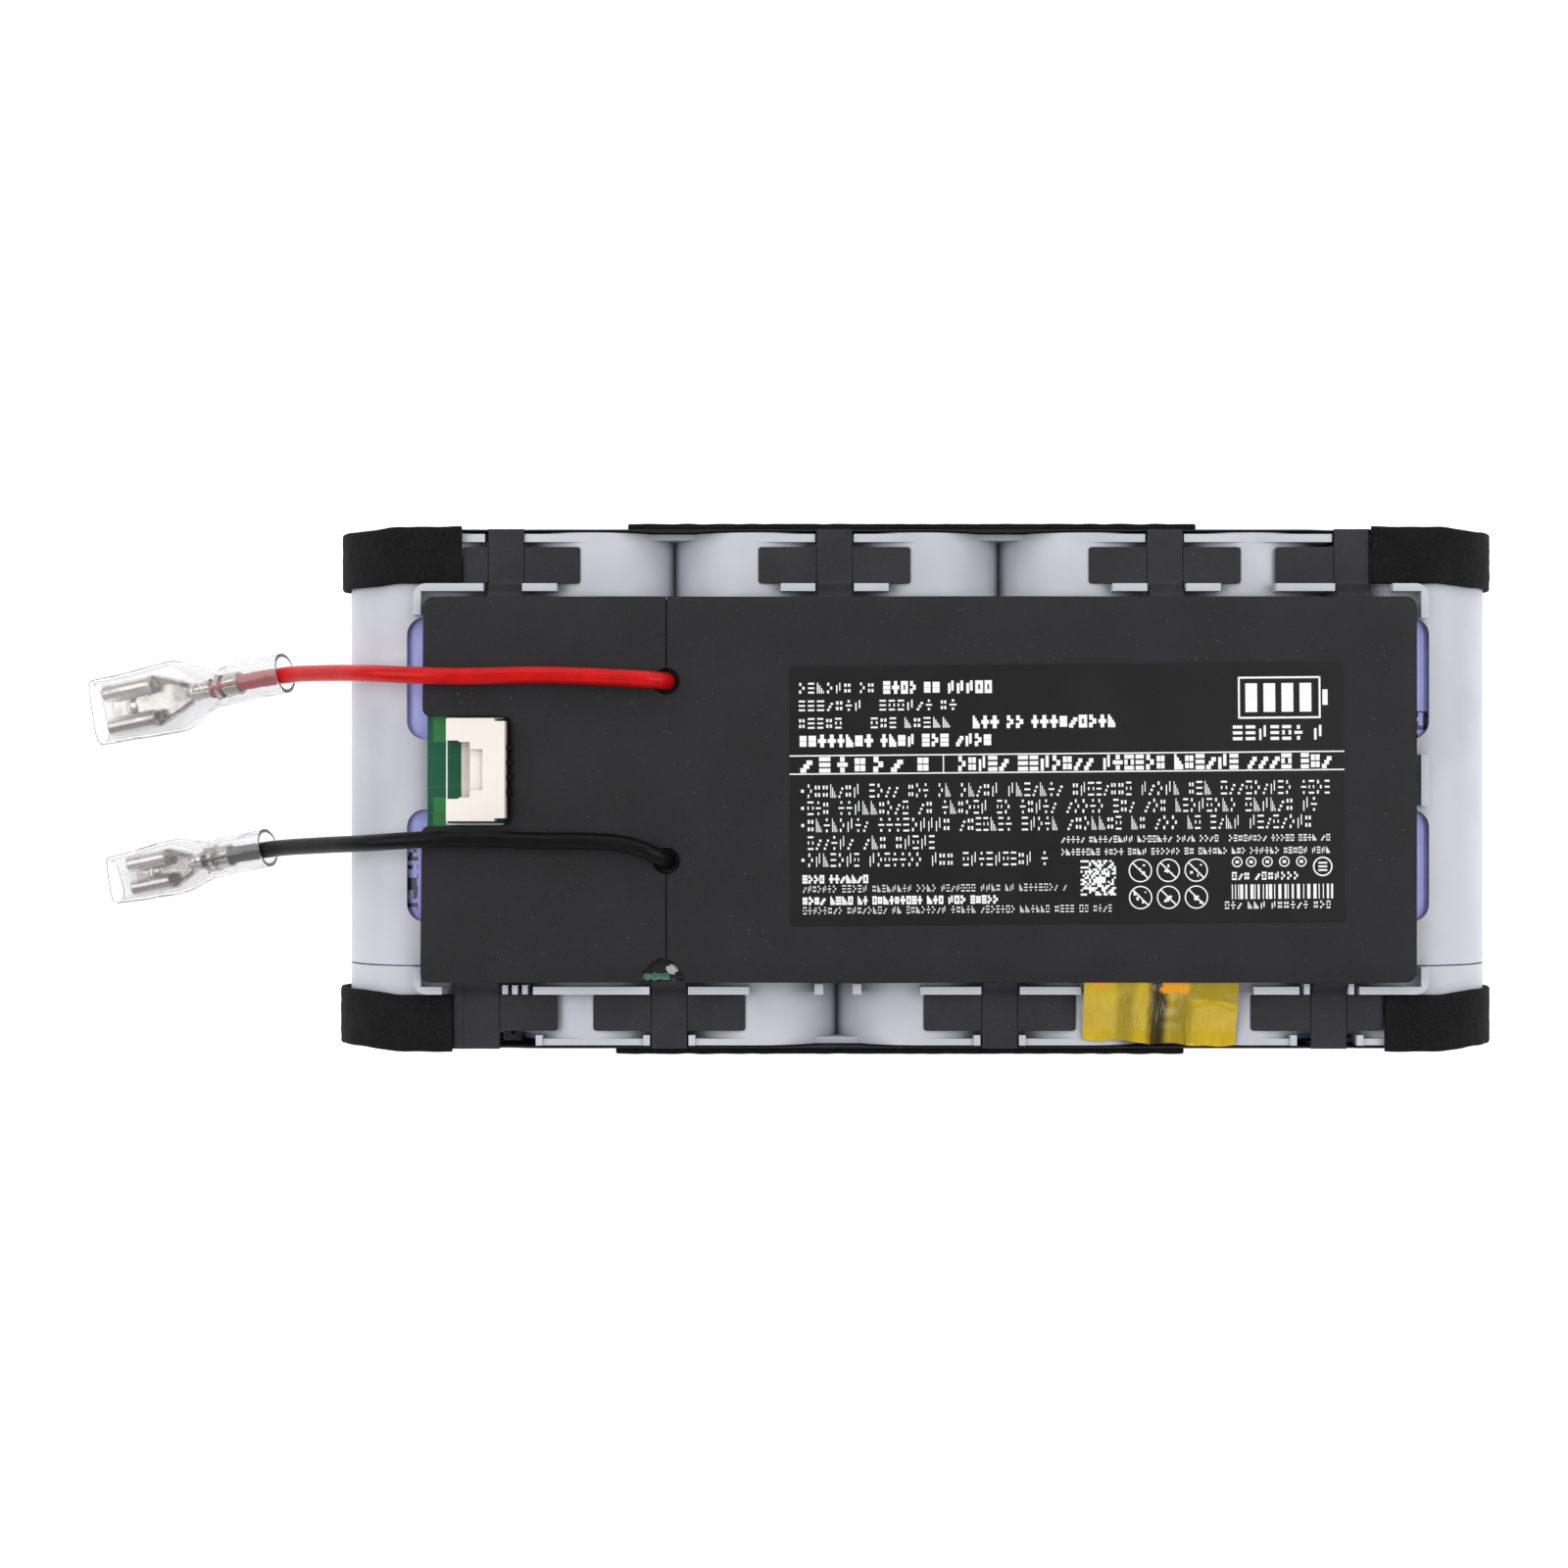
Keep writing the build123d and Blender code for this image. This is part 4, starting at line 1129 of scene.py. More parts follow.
    def build_sleeve(self) -> bpy.types.Object:
        """Clear sleeve: a superellipse section carried along the axis, from a round neck to a flat mouth.

        side = w cos^(2/n) a, up = h sin^(2/n) a, where w eases from the neck's radius out to its widest and
        back a little to the mouth, h stays near the neck's radius, and n eases from 2 to 3.6. Soft creases
        ring the taper.

        Returns:
            The sleeve.
        """
        neck, wide, mouth, neck_length, taper = self.sleeve
        rows = np.linspace(0, self.body_length, 140)
        angle = np.linspace(0, 2 * np.pi, 80, endpoint=False)
        opened = ease((rows - neck_length) / taper)[:, None]
        past = (rows - neck_length - taper) / (self.body_length - neck_length - taper)
        drawn = np.clip(past, 0, 1)[:, None]
        half_width = neck / 2 + (wide - neck) / 2 * opened - (wide - mouth) / 2 * drawn
        half_height = neck / 2 * (0.93 - 0.32 * opened)
        power = 2 / (2 + 1.6 * opened)
        cos, sin = np.cos(angle)[None, :], np.sin(angle)[None, :]
        crease = 1 + 0.016 * (np.sin(rows * 3.1) * np.exp(-((rows - neck_length) / 3.0) ** 2))[:, None]
        dent = 1 - 0.05 * opened * np.exp(-((rows - self.body_length + 7) / 3.5) ** 2)[:, None]
        side = half_width * np.sign(cos) * np.abs(cos) ** power * crease
        up = half_height * np.sign(sin) * np.abs(sin) ** power * crease * dent
        side = side + 0.08 * swell(rows[:, None] + 0 * side, side * 2, 7.0, 11)
        wave = np.sin(angle * 2 + 0.6)[None, :]
        along = rows[:, None] + 0.25 * opened * wave * (rows / rows[-1])[:, None] ** 6
        points = self.place(np.minimum(along, self.body_length), side, up).reshape(-1, 3)
        faces = grid_faces(len(rows), len(angle), wrap=True)[:, ::-1]
        piece = make_piece(f"{self.name}_clear_sleeve", points, [faces], VINYL)
        add_wall(piece, self.sleeve_wall, even=False)
        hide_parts(f"{self.name}_sleeve")
        return piece

    def build(self) -> None:
        cord = self.build_lead()
        pieces = [self.build_terminal(), self.build_strands(), self.build_sleeve()]


# ================================================================ cover and label
@dataclass
class BoardCover:
    """Black paper over the board, cut round the header, with two lead holes, two slits and a torn edge."""

    holes: tuple = ((-34.6, 14.6), (-34.6, -9.8))
    hole_radius: float = 1.75
    slit: float = 0.14
    corner: float = 1.5
    notch_margin: float = 0.6
    lip: float = 1.0
    tear: tuple = (-35.1, -26.5, 2.95, 3.4)
    thickness: float = 0.3
    low_shift: tuple = (-0.15, 0.15, 0.0)
    high_shift: tuple = (0.35, -0.32, 0.0)
    notch_below: float = 0.7
    notch_above: float = 0.3
    coarse: float = 1.6
    fine: float = 0.2
    hole_step: float = 0.16
    tear_step: float = 0.14

    def __post_init__(self) -> None:
        """Reads the outline from the frame."""
        self.low, self.high = span("board_cover")
        housing_low, housing_high = span("header_housing")
        self.notch_x = housing_high[0] + self.notch_margin
        self.notch_y = (housing_low[1] - self.notch_below, housing_high[1] + self.notch_above)
        self.low = self.low + np.array(self.low_shift)
        self.high = self.high + np.array(self.high_shift)

    def height(self, x: np.ndarray, y: np.ndarray) -> np.ndarray:
        """Top of the paper: its level, less a droop at the long edges, plus a slow swell and slightly
        lifted lips along the slits.

        Args:
            x: First coordinate, mm.
            y: Second coordinate, mm.

        Returns:
            Heights, mm.
        """
        droop = 0.30 * np.clip((np.abs(y) - 22.5) / 4.0, 0, 1) ** 2
        side = 0.14 * np.clip((np.abs(x + 0.5) - 64.0) / 3.4, 0, 1) ** 2
        lip = 0.10 * np.exp(-np.abs(x - self.holes[0][0]) / 1.6) * np.where(x > self.holes[0][0], 1, -0.6)
        lip = lip * np.clip((np.abs(y) - 6) / 8, 0, 1)
        return self.high[2] - droop - side + lip + 0.05 * swell(x, y, 34, 3)

    def inside(self, x: np.ndarray, y: np.ndarray) -> np.ndarray:
        """Signed distance to the paper's outline, positive inside: the least of the distances to the
        rounded outer edge, the notch, the holes, the slits and the tear.

        Args:
            x: First coordinate, mm.
            y: Second coordinate, mm.

        Returns:
            Distances, mm.
        """
        def box(low_x: float, high_x: float, low_y: float, high_y: float, radius: float) -> np.ndarray:
            """Distance outside a rounded rectangle, negative within it."""
            dx = np.abs(x - (low_x + high_x) / 2) - (high_x - low_x) / 2 + radius
            dy = np.abs(y - (low_y + high_y) / 2) - (high_y - low_y) / 2 + radius
            return np.hypot(np.maximum(dx, 0), np.maximum(dy, 0)) + np.minimum(np.maximum(dx, dy), 0) - radius

        edge = 0.07 * swell(x, y * 0.2, 22, 8)
        lean = np.where(x < 0, 0.40 * (y + 26.0) / 52.0, 0.0)
        x = x - lean
        parts = [-box(self.low[0], self.high[0], self.low[1], self.high[1], self.corner) - 0.05 + edge * 0.6]
        x = x + lean
        parts.append(box(self.low[0] - 10, self.notch_x, self.notch_y[0], self.notch_y[1], 0.8))
        parts.append(self.lip - np.hypot(*(np.maximum(self.lip - part, 0) for part in parts)))
        for (hole_x, hole_y), reach in zip(self.holes, (60, -60)):
            parts.append(np.hypot(x - hole_x, y - hole_y) - self.hole_radius)
            ends = sorted((hole_y, reach))
            parts.append(box(hole_x - self.slit / 2, hole_x + self.slit / 2, ends[0], ends[1], 0.0))
        tear_x, tear_y, half_x, half_y = self.tear
        ragged = 0.16 * swell(x, y, 1.6, 21) + 0.08 * swell(x, y, 0.6, 22)
        parts.append((np.hypot((x - tear_x) / half_x, (y - tear_y) / half_y) - 1) * 2.9 + ragged)
        return np.minimum.reduce(parts)

    def lines(self, low: float, high: float, step: float, fine: tuple, fixed: tuple) -> np.ndarray:
        """Grid lines: even steps, closer steps in the fine ranges, and fixed lines that are never dropped.

        Args:
            low: First line, mm.
            high: Last line, mm.
            step: The even step, mm.
            fine: Ranges as start, stop and step.
            fixed: Lines that are always kept.

        Returns:
            The places of the lines, in order.
        """
        wanted = [np.linspace(low, high, int((high - low) / step) + 1)]
        wanted += [np.arange(start, stop, gap) for start, stop, gap in fine]
        free = np.unique(np.round(np.concatenate(wanted), 4))
        free = free[np.min(np.abs(free[:, None] - np.array(fixed)[None, :]), axis=1) > 0.08]
        return np.unique(np.concatenate([free, np.array(fixed)]))

    def build(self) -> bpy.types.Object:
        """Paper: a grid. Its cells outside the outline are dropped, and its rim points moved on to it.

        Returns:
            The cover.
        """
        hole_x = self.holes[0][0]
        ends_x, ends_y = ((
            (self.low[k], self.low[k] + self.coarse, self.fine),
            (self.high[k] - self.coarse, self.high[k], self.fine)) for k in (0, 1))
        columns = self.lines(
            self.low[0], self.high[0], self.coarse, (*ends_x, (-39.5, -31.0, self.hole_step)),
            (self.low[0], self.high[0], self.notch_x, hole_x - self.slit / 2, hole_x + self.slit / 2))
        bottom, top = self.notch_y
        rows = self.lines(
            self.low[1], self.high[1], self.coarse,
            (*ends_y, (12.3, 16.9, self.hole_step), (-12.1, -7.5, self.hole_step),
             (-26.5, -22.3, self.tear_step), (bottom - 1.4, bottom + 1, self.fine),
             (top - 1, top + 1.4, self.fine)),
            (self.low[1], self.high[1], bottom, top))
        x, y = (grid.ravel() for grid in np.meshgrid(columns, rows))
        quads = grid_faces(len(rows), len(columns))
        kept = quads[self.inside(x[quads].mean(axis=1), y[quads].mean(axis=1)) > 0]
        shared = np.bincount(kept.ravel(), minlength=len(x))
        rim = (shared > 0) & (shared < 4)
        for _ in range(3):
            gap = self.inside(x, y)
            slope_x = (self.inside(x + 1e-3, y) - gap) / 1e-3
            slope_y = (self.inside(x, y + 1e-3) - gap) / 1e-3
            size = np.maximum(slope_x ** 2 + slope_y ** 2, 0.2)
            x = np.where(rim, x - np.clip(gap * slope_x / size, -0.2, 0.2), x)
            y = np.where(rim, y - np.clip(gap * slope_y / size, -0.2, 0.2), y)
        used, renumbered = np.unique(kept, return_inverse=True)
        points = np.stack([x, y, self.height(x, y)], axis=-1)[used]
        piece = make_piece("board_paper", points, [renumbered.reshape(-1, 4)], PAPER)
        add_wall(piece, self.thickness)
        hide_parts("board_cover")
        return piece


class Mark(Enum):
    """Unreadable printed marks, each a few bars in a unit square: left, bottom, right, top."""

    STACK = ((0, 0, 1, 0.17), (0, 0.42, 1, 0.58), (0, 0.83, 1, 1))
    OFFSET_BARS = ((0.08, 0, 0.30, 0.76), (0.62, 0.24, 0.84, 1))
    DOTS = ((0.02, 0.08, 0.38, 0.38), (0.58, 0.08, 0.94, 0.38),
            (0.02, 0.60, 0.38, 0.90), (0.58, 0.60, 0.94, 0.90))
    SCATTERED = ((0.06, 0, 0.40, 0.28), (0.56, 0.36, 0.90, 0.64), (0.10, 0.72, 0.44, 1))
    SPLIT = ((0, 0.42, 1, 0.58), (0.32, 0.78, 0.68, 1), (0.32, 0, 0.68, 0.22))
    SIDE_DOTS = ((0, 0, 1, 0.17), (0, 0.83, 1, 1), (0, 0.38, 0.26, 0.64), (0.74, 0.38, 1, 0.64))
    STAIR = ((0, 0, 0.42, 0.20), (0.29, 0.28, 0.71, 0.48), (0.58, 0.56, 1, 0.76))
    FALLING = ((0, 0, 0.18, 1), (0.29, 0, 0.47, 0.76), (0.58, 0, 0.76, 0.5), (0.86, 0, 1, 0.26))


@dataclass
class RatingLabel:
    """Black film label with white unreadable print. Places in mm."""

    cover: BoardCover
    corner: float = 0.8
    lift: float = 0.012
    askew: float = math.radians(0.5)
    film: float = 0.08
    film_wall: float = 0.078
    seed: int = 70
    heading: float = 1.45
    note: float = 0.86
    small: float = 0.98

    def __post_init__(self) -> None:
        """Reads the outline from the frame and starts the random order."""
        self.low, self.high = span("rating_label")
        self.order = np.random.default_rng(self.seed)
        self.bars: list[np.ndarray] = []

    def turned(self, x: np.ndarray, y: np.ndarray) -> tuple[np.ndarray, np.ndarray]:
        """Places turned about the label's middle, because the label is stuck on slightly askew.

        Args:
            x: First coordinate, mm.
            y: Second coordinate, mm.

        Returns:
            Both coordinates after the turn.
        """
        middle = (self.low + self.high) / 2
        cos, sin = math.cos(self.askew), math.sin(self.askew)
        dx, dy = x - middle[0], y - middle[1]
        return middle[0] + dx * cos - dy * sin, middle[1] + dx * sin + dy * cos

    def build_film(self) -> bpy.types.Object:
        """Film: a grid over the label, its corners rounded, just above the paper.

        Returns:
            The film.
        """
        fine = np.array([0.0, 0.12, 0.3, 0.5, self.corner])
        columns, rows = (
            np.concatenate([low + fine, np.linspace(low + 2, high - 2, count), high - fine[::-1]])
            for low, high, count in zip(self.low, self.high, (60, 28)))
        x, y = np.meshgrid(columns, rows)
        middle, half = (self.low + self.high) / 2, (self.high - self.low) / 2
        past_x = np.maximum(np.abs(x - middle[0]) - half[0] + self.corner, 0)
        past_y = np.maximum(np.abs(y - middle[1]) - half[1] + self.corner, 0)
        past = np.maximum(np.hypot(past_x, past_y), 1e-9)
        pull = np.maximum(np.maximum(past_x, past_y) / past, 0.0)
        pull = np.where(past > 1e-6, pull, 1.0)
        x = x - np.sign(x - middle[0]) * past_x * (1 - pull)
        y = y - np.sign(y - middle[1]) * past_y * (1 - pull)
        x, y = self.turned(x, y)
        points = np.stack([x, y, self.cover.height(x, y) + self.film], axis=-1).reshape(-1, 3)
        piece = make_piece("label_film", points, [grid_faces(len(rows), len(columns))], FILM)
        add_wall(piece, self.film_wall)
        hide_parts("rating_label")
        return piece

    def bar(self, left: float, bottom: float, right: float, top: float) -> None:
        """Adds one printed bar, in short lengths so that it follows the film."""
        stops = np.linspace(left, right, int((right - left) / 2.0) + 2)
        for start, stop in zip(stops[:-1], stops[1:]):
            self.bars.append(np.array([[start, bottom], [stop, bottom], [stop, top], [start, top]]))

    def words(self, left: float, right: float, middle: float, height: float, weight: float = 1.0,
              gap: float = 0.26, aspect: float = 0.62) -> None:
        """Adds a line of unreadable marks in word-like groups.

        Args:
            left: Start of the line.
            right: End of the line.
            middle: Height of the line's middle on the label.
            height: Height of a mark.
            weight: How heavy the bars are.
            gap: Space between marks, as a share of the height.
            aspect: Width of a mark, as a share of the height.
        """
        kinds = list(Mark)
        place = left
        remaining = int(self.order.integers(3, 9))
        while place + aspect * height <= right + 0.02:
            if remaining == 0:
                place += 0.55 * height
                remaining = int(self.order.integers(2, 10))
                continue
            wide = aspect * height * self.order.uniform(0.85, 1.08)
            for x0, y0, x1, y1 in kinds[int(self.order.integers(len(kinds)))].value:
                grow = 0.045 * (weight - 1)
                self.bar(place + (x0 - grow) * wide, middle + (y0 - 0.5 - grow) * height,
                         place + (x1 + grow) * wide, middle + (y1 - 0.5 + grow) * height)
            place += wide + gap * height
            remaining -= 1

    def ring(self, x: float, y: float, radius: float, width: float) -> None:
        """Adds a printed ring as short bars round a circle.

        Args:
            x: Middle of the ring.
            y: Middle of the ring.
            radius: Outer radius.
            width: Width of the line.
        """
        angle = np.linspace(0, 2 * np.pi, 29)
        inner, outer = radius - width, radius
        for first, second in zip(angle[:-1], angle[1:]):
            corners = [(inner, first), (outer, first), (outer, second), (inner, second)]
            self.bars.append(np.array([[x + r * math.cos(a), y + r * math.sin(a)] for r, a in corners]))

    def slash(self, x: float, y: float, reach: float, width: float, turn: float) -> None:
        """Adds a printed bar turned about its middle.

        Args:
            x: Middle of the bar.
            y: Middle of the bar.
            reach: Half its length.
            width: Its width.
            turn: Its heading, radians.
        """
        along = np.array([math.cos(turn), math.sin(turn)]) * reach
        across = np.array([-math.sin(turn), math.cos(turn)]) * width / 2
        centre = np.array([x, y])
        corners = [-along - across, along - across, along + across, -along + across]
        self.bars.append(centre + np.array(corners))

    def lay_out(self) -> None:
        """Sets out the whole print: heading lines, a ruled band, a list, small print, symbols and codes."""
        bold = 3.2
        for left, right, middle, weight in (
                (-16.55, -5.2, 13.96, 1.0), (-5.0, 10.4, 13.96, bold), (-16.55, -7.6, 11.57, 1.0),
                (-5.6, 6.4, 11.57, 1.0), (-16.55, -9.7, 9.18, 1.0), (-6.8, 4.2, 9.18, 1.0),
                (7.1, 28.2, 9.18, bold), (-16.4, 10.6, 6.78, bold)):
            self.words(left, right, middle, self.heading, weight)
        for level in (4.79, 2.32):
            self.bar(self.low[0] + 0.15, level - 0.09, self.high[0] - 0.15, level + 0.09)
        self.bar(2.92, 2.32, 3.08, 4.79)
        self.words(-16.3, 2.3, 3.55, 1.85, 2.6, 0.60, 0.72)
        self.words(5.0, 55.6, 3.55, 1.85, 2.4, 0.20, 0.62)
        for middle, right, dotted in ((0.0, 55.75, True), (-2.32, 54.4, True), (-4.65, 54.8, True),
                                      (-7.04, 1.9, False), (-9.36, 18.0, True)):
            self.words(-15.5, right, middle, 1.92, 0.6, 0.15, 0.42)
            if dotted:
                self.bar(-16.35, middle - 0.2, -15.95, middle + 0.2)
        for left, right, middle in ((18.9, 40.4, -6.85), (41.6, 55.8, -6.85), (18.9, 55.8, -8.55)):
            self.words(left, right, middle, self.note, 1.4, 0.2, 0.6)
        for right, middle, weight, aspect in ((-6.6, -11.96, 3.0, 0.62), (19.6, -13.28, 0.8, 0.52),
                                              (11.0, -14.88, 3.0, 0.62), (26.5, -16.21, 0.8, 0.52)):
            self.words(-16.2, right, middle, self.small, weight, 0.2, aspect)
        self.lay_out_blocks()
        self.lay_out_emblem()

    def lay_out_blocks(self) -> None:
        """Adds the dot block, the ringed symbols, the round mark and the row of bars."""
        size = 4.79 / 17
        for row, column in np.argwhere(self.order.random((17, 17)) < 0.52):
            x, y = 21.46 + column * size, -14.48 + row * size
            self.bar(x, y, x + size * 1.02, y + size * 1.02)
        for x in (29.57, 33.36, 37.14):
            for y in (-11.16, -14.81):
                self.ring(x, y, 1.59, 0.17)
                self.slash(x, y, 1.45, 0.20, -math.pi / 4)
                for _ in range(4):
                    dx, dy = self.order.uniform(-0.75, 0.75, 2)
                    wide, high = self.order.uniform(0.14, 0.5, 2)
                    self.bar(x + dx - wide / 2, y + dy - high / 2, x + dx + wide / 2, y + dy + high / 2)
        for x in (42.7, 44.6, 46.8, 49.1, 51.4):
            self.ring(x, -10.1, 0.72, 0.16)
            self.bar(x - 0.25, -10.3, x + 0.25, -9.9)
        self.words(42.0, 52.3, -12.0, 1.0, 2.0)
        self.ring(54.3, -10.8, 1.33, 0.2)
        for step in (-0.5, 0.0, 0.5):
            self.bar(54.3 - 0.6, -10.8 + step - 0.12, 54.3 + 0.6, -10.8 + step + 0.12)
        place = 41.95
        while place < 55.6:
            wide = 0.14 * int(self.order.integers(1, 4))
            self.bar(place, -15.14, min(place + wide, 55.88), -13.15)
            place += wide + 0.14 * int(self.order.integers(1, 4))
        self.words(41.0, 55.9, -15.95, 1.0, 1.2)

    def lay_out_emblem(self) -> None:
        """Adds a plain battery pictogram: a case with a contact and four charge bars, over marks."""
        left, right, bottom, top, stroke = 43.0, 54.2, 9.3, 15.0, 0.26
        self.bar(left, bottom, right, bottom + stroke)
        self.bar(left, top - stroke, right, top)
        self.bar(left, bottom, left + stroke, top)
        self.bar(right - stroke, bottom, right, top)
        self.bar(right + 0.25, 11.1, right + 0.95, 13.2)
        for step in range(4):
            start = left + 1.0 + step * 2.45
            self.bar(start, bottom + 0.9, start + 1.6, top - 0.9)
        self.words(42.3, 55.7, 7.4, 1.9, 1.6)

    def build(self) -> None:
        """Builds the film, sets out the print and lays all its bars on the film as one piece."""
        self.build_film()
        self.lay_out()
        flat = np.concatenate(self.bars)
        x, y = self.turned(flat[:, 0], flat[:, 1])
        points = np.column_stack([x, y, self.cover.height(x, y) + self.film + self.lift])
        faces = np.arange(len(points)).reshape(-1, 4)
        piece = make_piece("label_print_marks", points, [faces], INK, smooth=False)
        add_wall(piece, self.lift * 0.8)


# ================================================================ papers, foam and tape at the ends
@dataclass
class TabCrosses:
    """Black card crosses over the nickel tabs: a bar that climbs on to the board, and two flat wings."""

    bar_width: float = 4.9
    thickness: float = 0.25
    corner: float = 0.4
    end_flap: float = 1.5
    torn_cross: str = "front_tab_cross_2_3"
    torn_end: float = 26.1
    ramp: tuple = (26.2, 28.1)
    ledge: float = 0.24
    wing_start: float = 28.1
    wing_end: float = 33.1
    nudges: dict = field(default_factory=lambda: {"front_tab_insulator_6_7": 0.25,
                                                  "rear_tab_insulator_1_2": 0.3})

    def build_bar(self, name: str, middle: float, low: np.ndarray, high: np.ndarray,
                  side: int) -> bpy.types.Object:
        """Bar: a strip whose height follows the tab, flat at the end, up the ramp and flat on the board.

        Args:
            name: Name of the cross.
            middle: Middle of the bar.
            low: Lowest corner of the cross.
            high: Highest corner of the cross.
            side: 1 at the rear, -1 at the front.

        Returns:
            The bar.
        """
        outer, inner = max(abs(low[1]), abs(high[1])), min(abs(low[1]), abs(high[1]))
        inner = self.torn_end if name == self.torn_cross else inner
        travel = np.linspace(outer, inner, 90)
        level = np.interp(travel, [*self.ramp, outer], [high[2], low[2] + self.ledge, low[2] + self.ledge])
        padded = np.pad(level, 4, mode="edge")
        level = np.convolve(padded, np.ones(9) / 9, mode="valid") + 0.05
        across = np.linspace(-self.bar_width / 2, self.bar_width / 2, 25)
        flap = self.end_flap if name == "front_tab_cross_1" else 0.0
        across = np.where(across < 0, across * (1 + flap / self.bar_width * 2), across)
        x = middle + across[None, :] + 0 * level[:, None]
        crown = 0.02 * np.cos(np.pi * across / self.bar_width)[None, :]
        y = np.broadcast_to(side * travel[:, None], x.shape)
        z = level[:, None] + crown + 0.03 * swell(x, y, 6, 31)
        uv = np.stack([x - middle, y], axis=-1).reshape(-1, 2)
        points = np.stack([x, y, z], axis=-1).reshape(-1, 3)
        faces = grid_faces(len(travel), 25)
        faces = faces if side < 0 else faces[:, ::-1]
        piece = make_piece(f"{name}_bar", points, [faces], CARD, uv=uv)
        add_wall(piece, self.thickness)
        return piece

    def build_wings(self, name: str, middle: float, low: np.ndarray, high: np.ndarray,
                    side: int) -> bpy.types.Object:
        """Wings: a flat strip beside the bar, its free ends bent down a little over the valley.

        Args:
            name: Name of the cross.
            middle: Middle of the bar.
            low: Lowest corner of the cross.
            high: Highest corner of the cross.
            side: 1 at the rear, -1 at the front.

        Returns:
            The wings.
        """
        left, right = low[0], high[0]
        fine = np.array([0.0, 0.1, 0.25, self.corner])
        beside = middle + np.array([-2.50, -2.44, 2.44, 2.50])
        beside = beside[(beside > left + 0.5) & (beside < right - 0.5)]
        columns = np.unique(np.concatenate([left + fine, np.linspace(left + 0.8, right - 0.8, 70),
                                            right - fine, beside]))
        rows = np.concatenate([self.wing_start + fine, np.linspace(28.8, 32.4, 14),
                               self.wing_end - fine[::-1]])
        x, depth = np.meshgrid(columns, rows)
        edge_x = np.minimum(x - left, right - x)
        edge_y = np.minimum(depth - self.wing_start, self.wing_end - depth)
        short = np.maximum(self.corner - edge_y, 0)
        inset = self.corner - np.sqrt(np.maximum(self.corner ** 2 - short ** 2, 0))
        x = x + np.where(edge_x < self.corner, np.sign(middle - x) * inset * (1 - edge_x / self.corner), 0)
        y = side * depth
        bend = 0.55 * np.clip((np.abs(x - middle) - 4.0) / 6.4, 0, 1) ** 2
        under = np.where(np.abs(x - middle) < 2.47, 0.30, 0.0)
        z = low[2] + self.thickness + 0.04 - bend * 0.35 - under + 0.03 * swell(x, y, 6, 31)
        uv = np.stack([x - middle, y], axis=-1).reshape(-1, 2)
        points = np.stack([x, y, z], axis=-1).reshape(-1, 3)
        faces = grid_faces(len(rows), len(columns))
        faces = faces if side > 0 else faces[:, ::-1]
        piece = make_piece(f"{name}_wings", points, [faces], CARD, uv=uv)
        add_wall(piece, self.thickness)
        return piece

    def build(self) -> None:
        """Builds every cross over its frame node."""
        for node in sorted(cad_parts):
            if "tab_insulator" in node:
                side = 1 if node.startswith("rear") else -1
                low, high = span(node)
                middle = self.bar_middle(node)
                name = node.replace("insulator", "cross")
                bar = self.build_bar(name, middle, low, high, side)
                self.build_wings(name, middle, low, high, side)
                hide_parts(node)

    def bar_middle(self, node: str) -> float:
        """Middle of the bar: the mean of the cross's points that lie nearest the board.

        Args:
            node: Name of the cross's frame node.

        Returns:
            Its place along the pack, mm.
        """
        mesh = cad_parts[node].data
        points = np.empty(len(mesh.vertices) * 3)
        mesh.vertices.foreach_get("co", points)
        points = points.reshape(-1, 3) / MM
        near = np.abs(points[:, 1]) < 27.0
        return float(points[near, 0].mean()) + self.nudges.get(node, 0.0)


